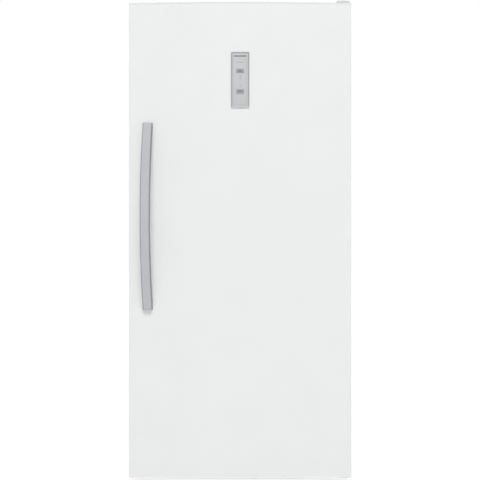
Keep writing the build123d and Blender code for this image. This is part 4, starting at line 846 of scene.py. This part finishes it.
class REFRIGERATOR_OT_crispers(bpy.types.Operator):
    """Builds the two clear crispers and their humidity sliders"""
    bl_idname = "refrigerator.crispers"
    bl_label = "Crispers"

    def execute(self, context):
        # The right tub: its sides, its lips, its wall and its front panel. The left mirrors it.
        near, far, lip_near, lip_far = 0.013, 0.353, 0.004, 0.359
        wall, panel, overlap, lip = 0.0025, 0.0045, 0.001, 0.003
        # Half the width of the grip and of the slider's slot, and how high each lies
        middle, corner = (near + far) / 2, 0.0026
        openings = ((0.055, (0.273, 0.295)), (0.0229, (0.311, 0.317)))
        for side, name in ((1, "right"), (-1, "left")):
            node = f"crisper_{name}"
            low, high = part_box(node)
            front, top, step, hump = low.y + panel, 0.330, 0.273, 0.13515
            bm = extruded([(near, y, z) for y, z in (
                (front, low.z), (hump, low.z), (hump, step), (high.y, step), (high.y, top),
                (front, top))], (far - near, 0, 0))
            open_faces = [f for f in bm.faces if f.normal.z > 0.9
                          or f.calc_center_median().y < front + 1e-5]
            bmesh.ops.delete(bm, geom=open_faces, context="FACES")
            bevel(bm, sharp_edges(bm, 30), 0.008, 4)
            side_face = max(bm.faces, key=lambda f: f.calc_center_median().x)
            if side_face.normal.x < 0:
                bmesh.ops.reverse_faces(bm, faces=bm.faces)
            bmesh.ops.solidify(bm, geom=bm.faces[:], thickness=wall)
            for x0, x1 in ((lip_near, near + overlap), (far - overlap, lip_far)):
                box_into(bm, (x0, CRISPER_RAIL_FRONT, top - lip), (x1, high.y, top), 0.0009, 2)
            plate = boxed((lip_near, low.y, low.z), (lip_far, front, high.z), 0.005, 4,
                          lambda a, b: abs(a.y - b.y) > 1e-4)
            for half, z in openings:
                window(plate, (middle - half, middle + half), z)
            bevel(plate, sharp_edges(plate, 60, lambda a, b: abs(a.y - b.y) > 1e-3
                                     and abs(a.x - middle) < 0.06), corner, 4)
            bevel(plate, sharp_edges(plate, 50), 0.0008, 2)
            loose = bpy.data.meshes.new("plate")
            plate.to_mesh(loose)
            plate.free()
            bm.from_mesh(loose)
            bpy.data.meshes.remove(loose)
            if side < 0:
                bmesh.ops.scale(bm, vec=(-1, 1, 1), verts=bm.verts)
                bmesh.ops.reverse_faces(bm, faces=bm.faces)
            finish(bm, f"crisper_{name}_tub", "clear_polystyrene", node, [node])
            slider = f"humidity_slider_{name}"
            finish(softened(slider, 0.0005), f"humidity_{name}_knob", "moulded_abs_white",
                   f"humidity_{name}", [slider])
        return {"FINISHED"}


# Finishes of the CAD nodes that keep their shape

CAD_FINISHES = {
    "moulded_abs_white": ("shelf_trim_1", "shelf_trim_2", "shelf_trim_3", "crisper_cover_frame",
                          "evaporator_cover", "humidity_slider_left", "humidity_slider_right"),
    "moulded_abs_light_grey": ("top_hinge_cover",),
    "tempered_glass": ("shelf_glass_1", "shelf_glass_2", "shelf_glass_3",
                       "crisper_cover_glass"),
    "clear_polystyrene": ("crisper_left", "crisper_right"),
    "zinc_plated_steel": ("top_hinge_bracket", "bottom_hinge_bracket", "hinge_pins",
                          "cabinet_screws", "roller_brackets", "handle_studs"),
    "galvanised_sheet": ("base_frame", "rear_cover"),
    "black_painted_steel": ("compressor", "condenser_coil"),
    "copper_tube": ("refrigerant_lines",),
    "rolled_aluminium": ("evaporator_coil",),
    "glass_filled_nylon": ("roller_left", "roller_right", "leveling_leg_left",
                           "leveling_leg_right", "condenser_fan_motor",
                           "evaporator_fan_motor"),
    "moulded_polypropylene_grey": ("drain_pan", "condenser_fan_blades",
                                   "evaporator_fan_blades"),
    "epdm_rubber": ("compressor_grommets",),
    "polyurethane_foam": ("cabinet_foam", "door_foam"),
    "turned_acetal": ("door_bushes",),
    "circuit_board": ("control_board",),
    "opal_polycarbonate": ("led_light_lens",),
}


class REFRIGERATOR_OT_finishes(bpy.types.Operator):
    """Makes the materials and gives the CAD nodes theirs"""
    bl_idname = "refrigerator.finishes"
    bl_label = "Finishes"

    def execute(self, context):
        build_materials(context.scene)
        for material, nodes in CAD_FINISHES.items():
            for node in nodes:
                for holder in frame["nodes"][node].material_slots:
                    holder.material = bpy.data.materials[material]
        return {"FINISHED"}


# Stage

# Lamps: name, azimuth and elevation of where they stand, width in degrees, strength
LAMPS = (("key", (4, 48), 34, 1.84), ("right", (115, 12), 30, 0.42),
         ("left", (-115, 12), 30, 0.36), ("back", (180, 20), 40, 0.7))
PICTURE_WIDTH = 480


class REFRIGERATOR_OT_stage(bpy.types.Operator):
    """Builds the floor, the lights and the camera"""
    bl_idname = "refrigerator.stage"
    bl_label = "Stage"

    def execute(self, context):
        stage = context.scene.refrigerator_stage
        scene = context.scene
        door_low, door_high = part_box("door_skin")
        edge_y = door_low.y + bow_back(door_high.x, scene.refrigerator_door.bow_radius)
        middle = (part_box("door_cap_bottom")[0].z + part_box("door_cap_top")[1].z) / 2

        data = bpy.data.cameras.new("camera")
        camera = bpy.data.objects.new("camera", data)
        scene.collection.objects.link(camera)
        # The photo's door stands a fraction of a picture element right of the middle
        left = 0.15 * stage.scale
        camera.location = (-left, edge_y - stage.distance, middle + stage.horizon)
        camera.rotation_euler = (math.pi / 2, 0, 0)
        data.lens = data.sensor_width * stage.distance / (PICTURE_WIDTH * stage.scale)
        data.shift_y = -0.05
        data.clip_end = 100
        scene.camera = camera

        bm = bmesh.new()
        bmesh.ops.create_grid(bm, x_segments=8, y_segments=8, size=12.0)
        mesh = bpy.data.meshes.new("floor")
        bm.to_mesh(mesh)
        bm.free()
        floor = bpy.data.objects.new("floor", mesh)
        scene.collection.objects.link(floor)
        mesh.materials.append(self.floor_material())

        world = bpy.data.worlds.new("studio")
        scene.world = world
        world.use_nodes = True
        tree = world.node_tree
        tree.nodes.clear()
        fill = add_node(tree, "ShaderNodeBackground", {"Color": (1, 1, 1, 1), "Strength": 0.4})
        white = add_node(tree, "ShaderNodeBackground", {"Color": (1, 1, 1, 1), "Strength": 1.0})
        mix = add_node(tree, "ShaderNodeMixShader",
                       {"Fac": seen_directly(tree), 1: fill.outputs[0],
                        2: white.outputs[0]})
        output = tree.nodes.new("ShaderNodeOutputWorld")
        tree.links.new(mix.outputs[0], output.inputs["Surface"])

        for name, turn, angle, strength in LAMPS:
            lamp = bpy.data.lights.new(name, "SUN")
            lamp.angle = math.radians(angle)
            lamp.energy = strength
            holder = bpy.data.objects.new(name, lamp)
            holder.visible_glossy = False
            azimuth, elevation = (math.radians(t) for t in turn)
            holder.rotation_euler = (math.pi / 2 - elevation, 0, azimuth)
            scene.collection.objects.link(holder)
        scene.view_settings.view_transform = "Standard"
        return {"FINISHED"}

    def floor_material(self):
        """White where it is seen, apart from the shadows, and matt where it lights the rest."""
        made, tree, output = blank_material("studio_floor")
        matt = add_node(tree, "ShaderNodeBsdfDiffuse", {"Color": linear("#F0F0F0")})
        seen = add_node(tree, "ShaderNodeBsdfDiffuse", {"Color": linear("#7C7C7C")})
        lift = add_node(tree, "ShaderNodeEmission", {"Color": (1, 1, 1, 1), "Strength": 0.84})
        both = add_node(tree, "ShaderNodeAddShader", {0: seen.outputs[0], 1: lift.outputs[0]})
        mix = add_node(tree, "ShaderNodeMixShader",
                       {"Fac": seen_directly(tree), 1: matt.outputs[0], 2: both.outputs[0]})
        tree.links.new(mix.outputs[0], output.inputs["Surface"])
        return made


class REFRIGERATOR_PT_panel(bpy.types.Panel):
    """Lists the sizes, colours and building steps of the refrigerator"""
    bl_idname = "REFRIGERATOR_PT_panel"
    bl_label = "Refrigerator"
    bl_space_type = "VIEW_3D"
    bl_region_type = "UI"
    bl_category = "Refrigerator"

    def draw(self, context):
        for holder, group in GROUPS:
            box = self.layout.box()
            for name in group.__annotations__:
                box.prop(getattr(context.scene, holder), name)
        for step in OPERATORS:
            self.layout.operator(step.bl_idname)


GROUPS = (("refrigerator_door", DoorProperties), ("refrigerator_handle", HandleProperties),
          ("refrigerator_panel", PanelProperties), ("refrigerator_cabinet", CabinetProperties),
          ("refrigerator_stage", StageProperties))
OPERATORS = (REFRIGERATOR_OT_stage, REFRIGERATOR_OT_finishes, REFRIGERATOR_OT_door_skin,
             REFRIGERATOR_OT_handle, REFRIGERATOR_OT_control_panel, REFRIGERATOR_OT_door_inside,
             REFRIGERATOR_OT_cabinet_outside, REFRIGERATOR_OT_cabinet_inside,
             REFRIGERATOR_OT_crispers)


def register():
    for name, group in GROUPS:
        bpy.utils.register_class(group)
        setattr(bpy.types.Scene, name, bpy.props.PointerProperty(type=group))
    for each in (*OPERATORS, REFRIGERATOR_PT_panel):
        bpy.utils.register_class(each)


def unregister():
    for each in reversed((*OPERATORS, REFRIGERATOR_PT_panel)):
        bpy.utils.unregister_class(each)
    for name, group in reversed(GROUPS):
        delattr(bpy.types.Scene, name)
        bpy.utils.unregister_class(group)


def main():
    register()
    for step in OPERATORS:
        family, name = step.bl_idname.split(".")
        getattr(getattr(bpy.ops, family), name)()


if __name__ == "__main__":
    main()
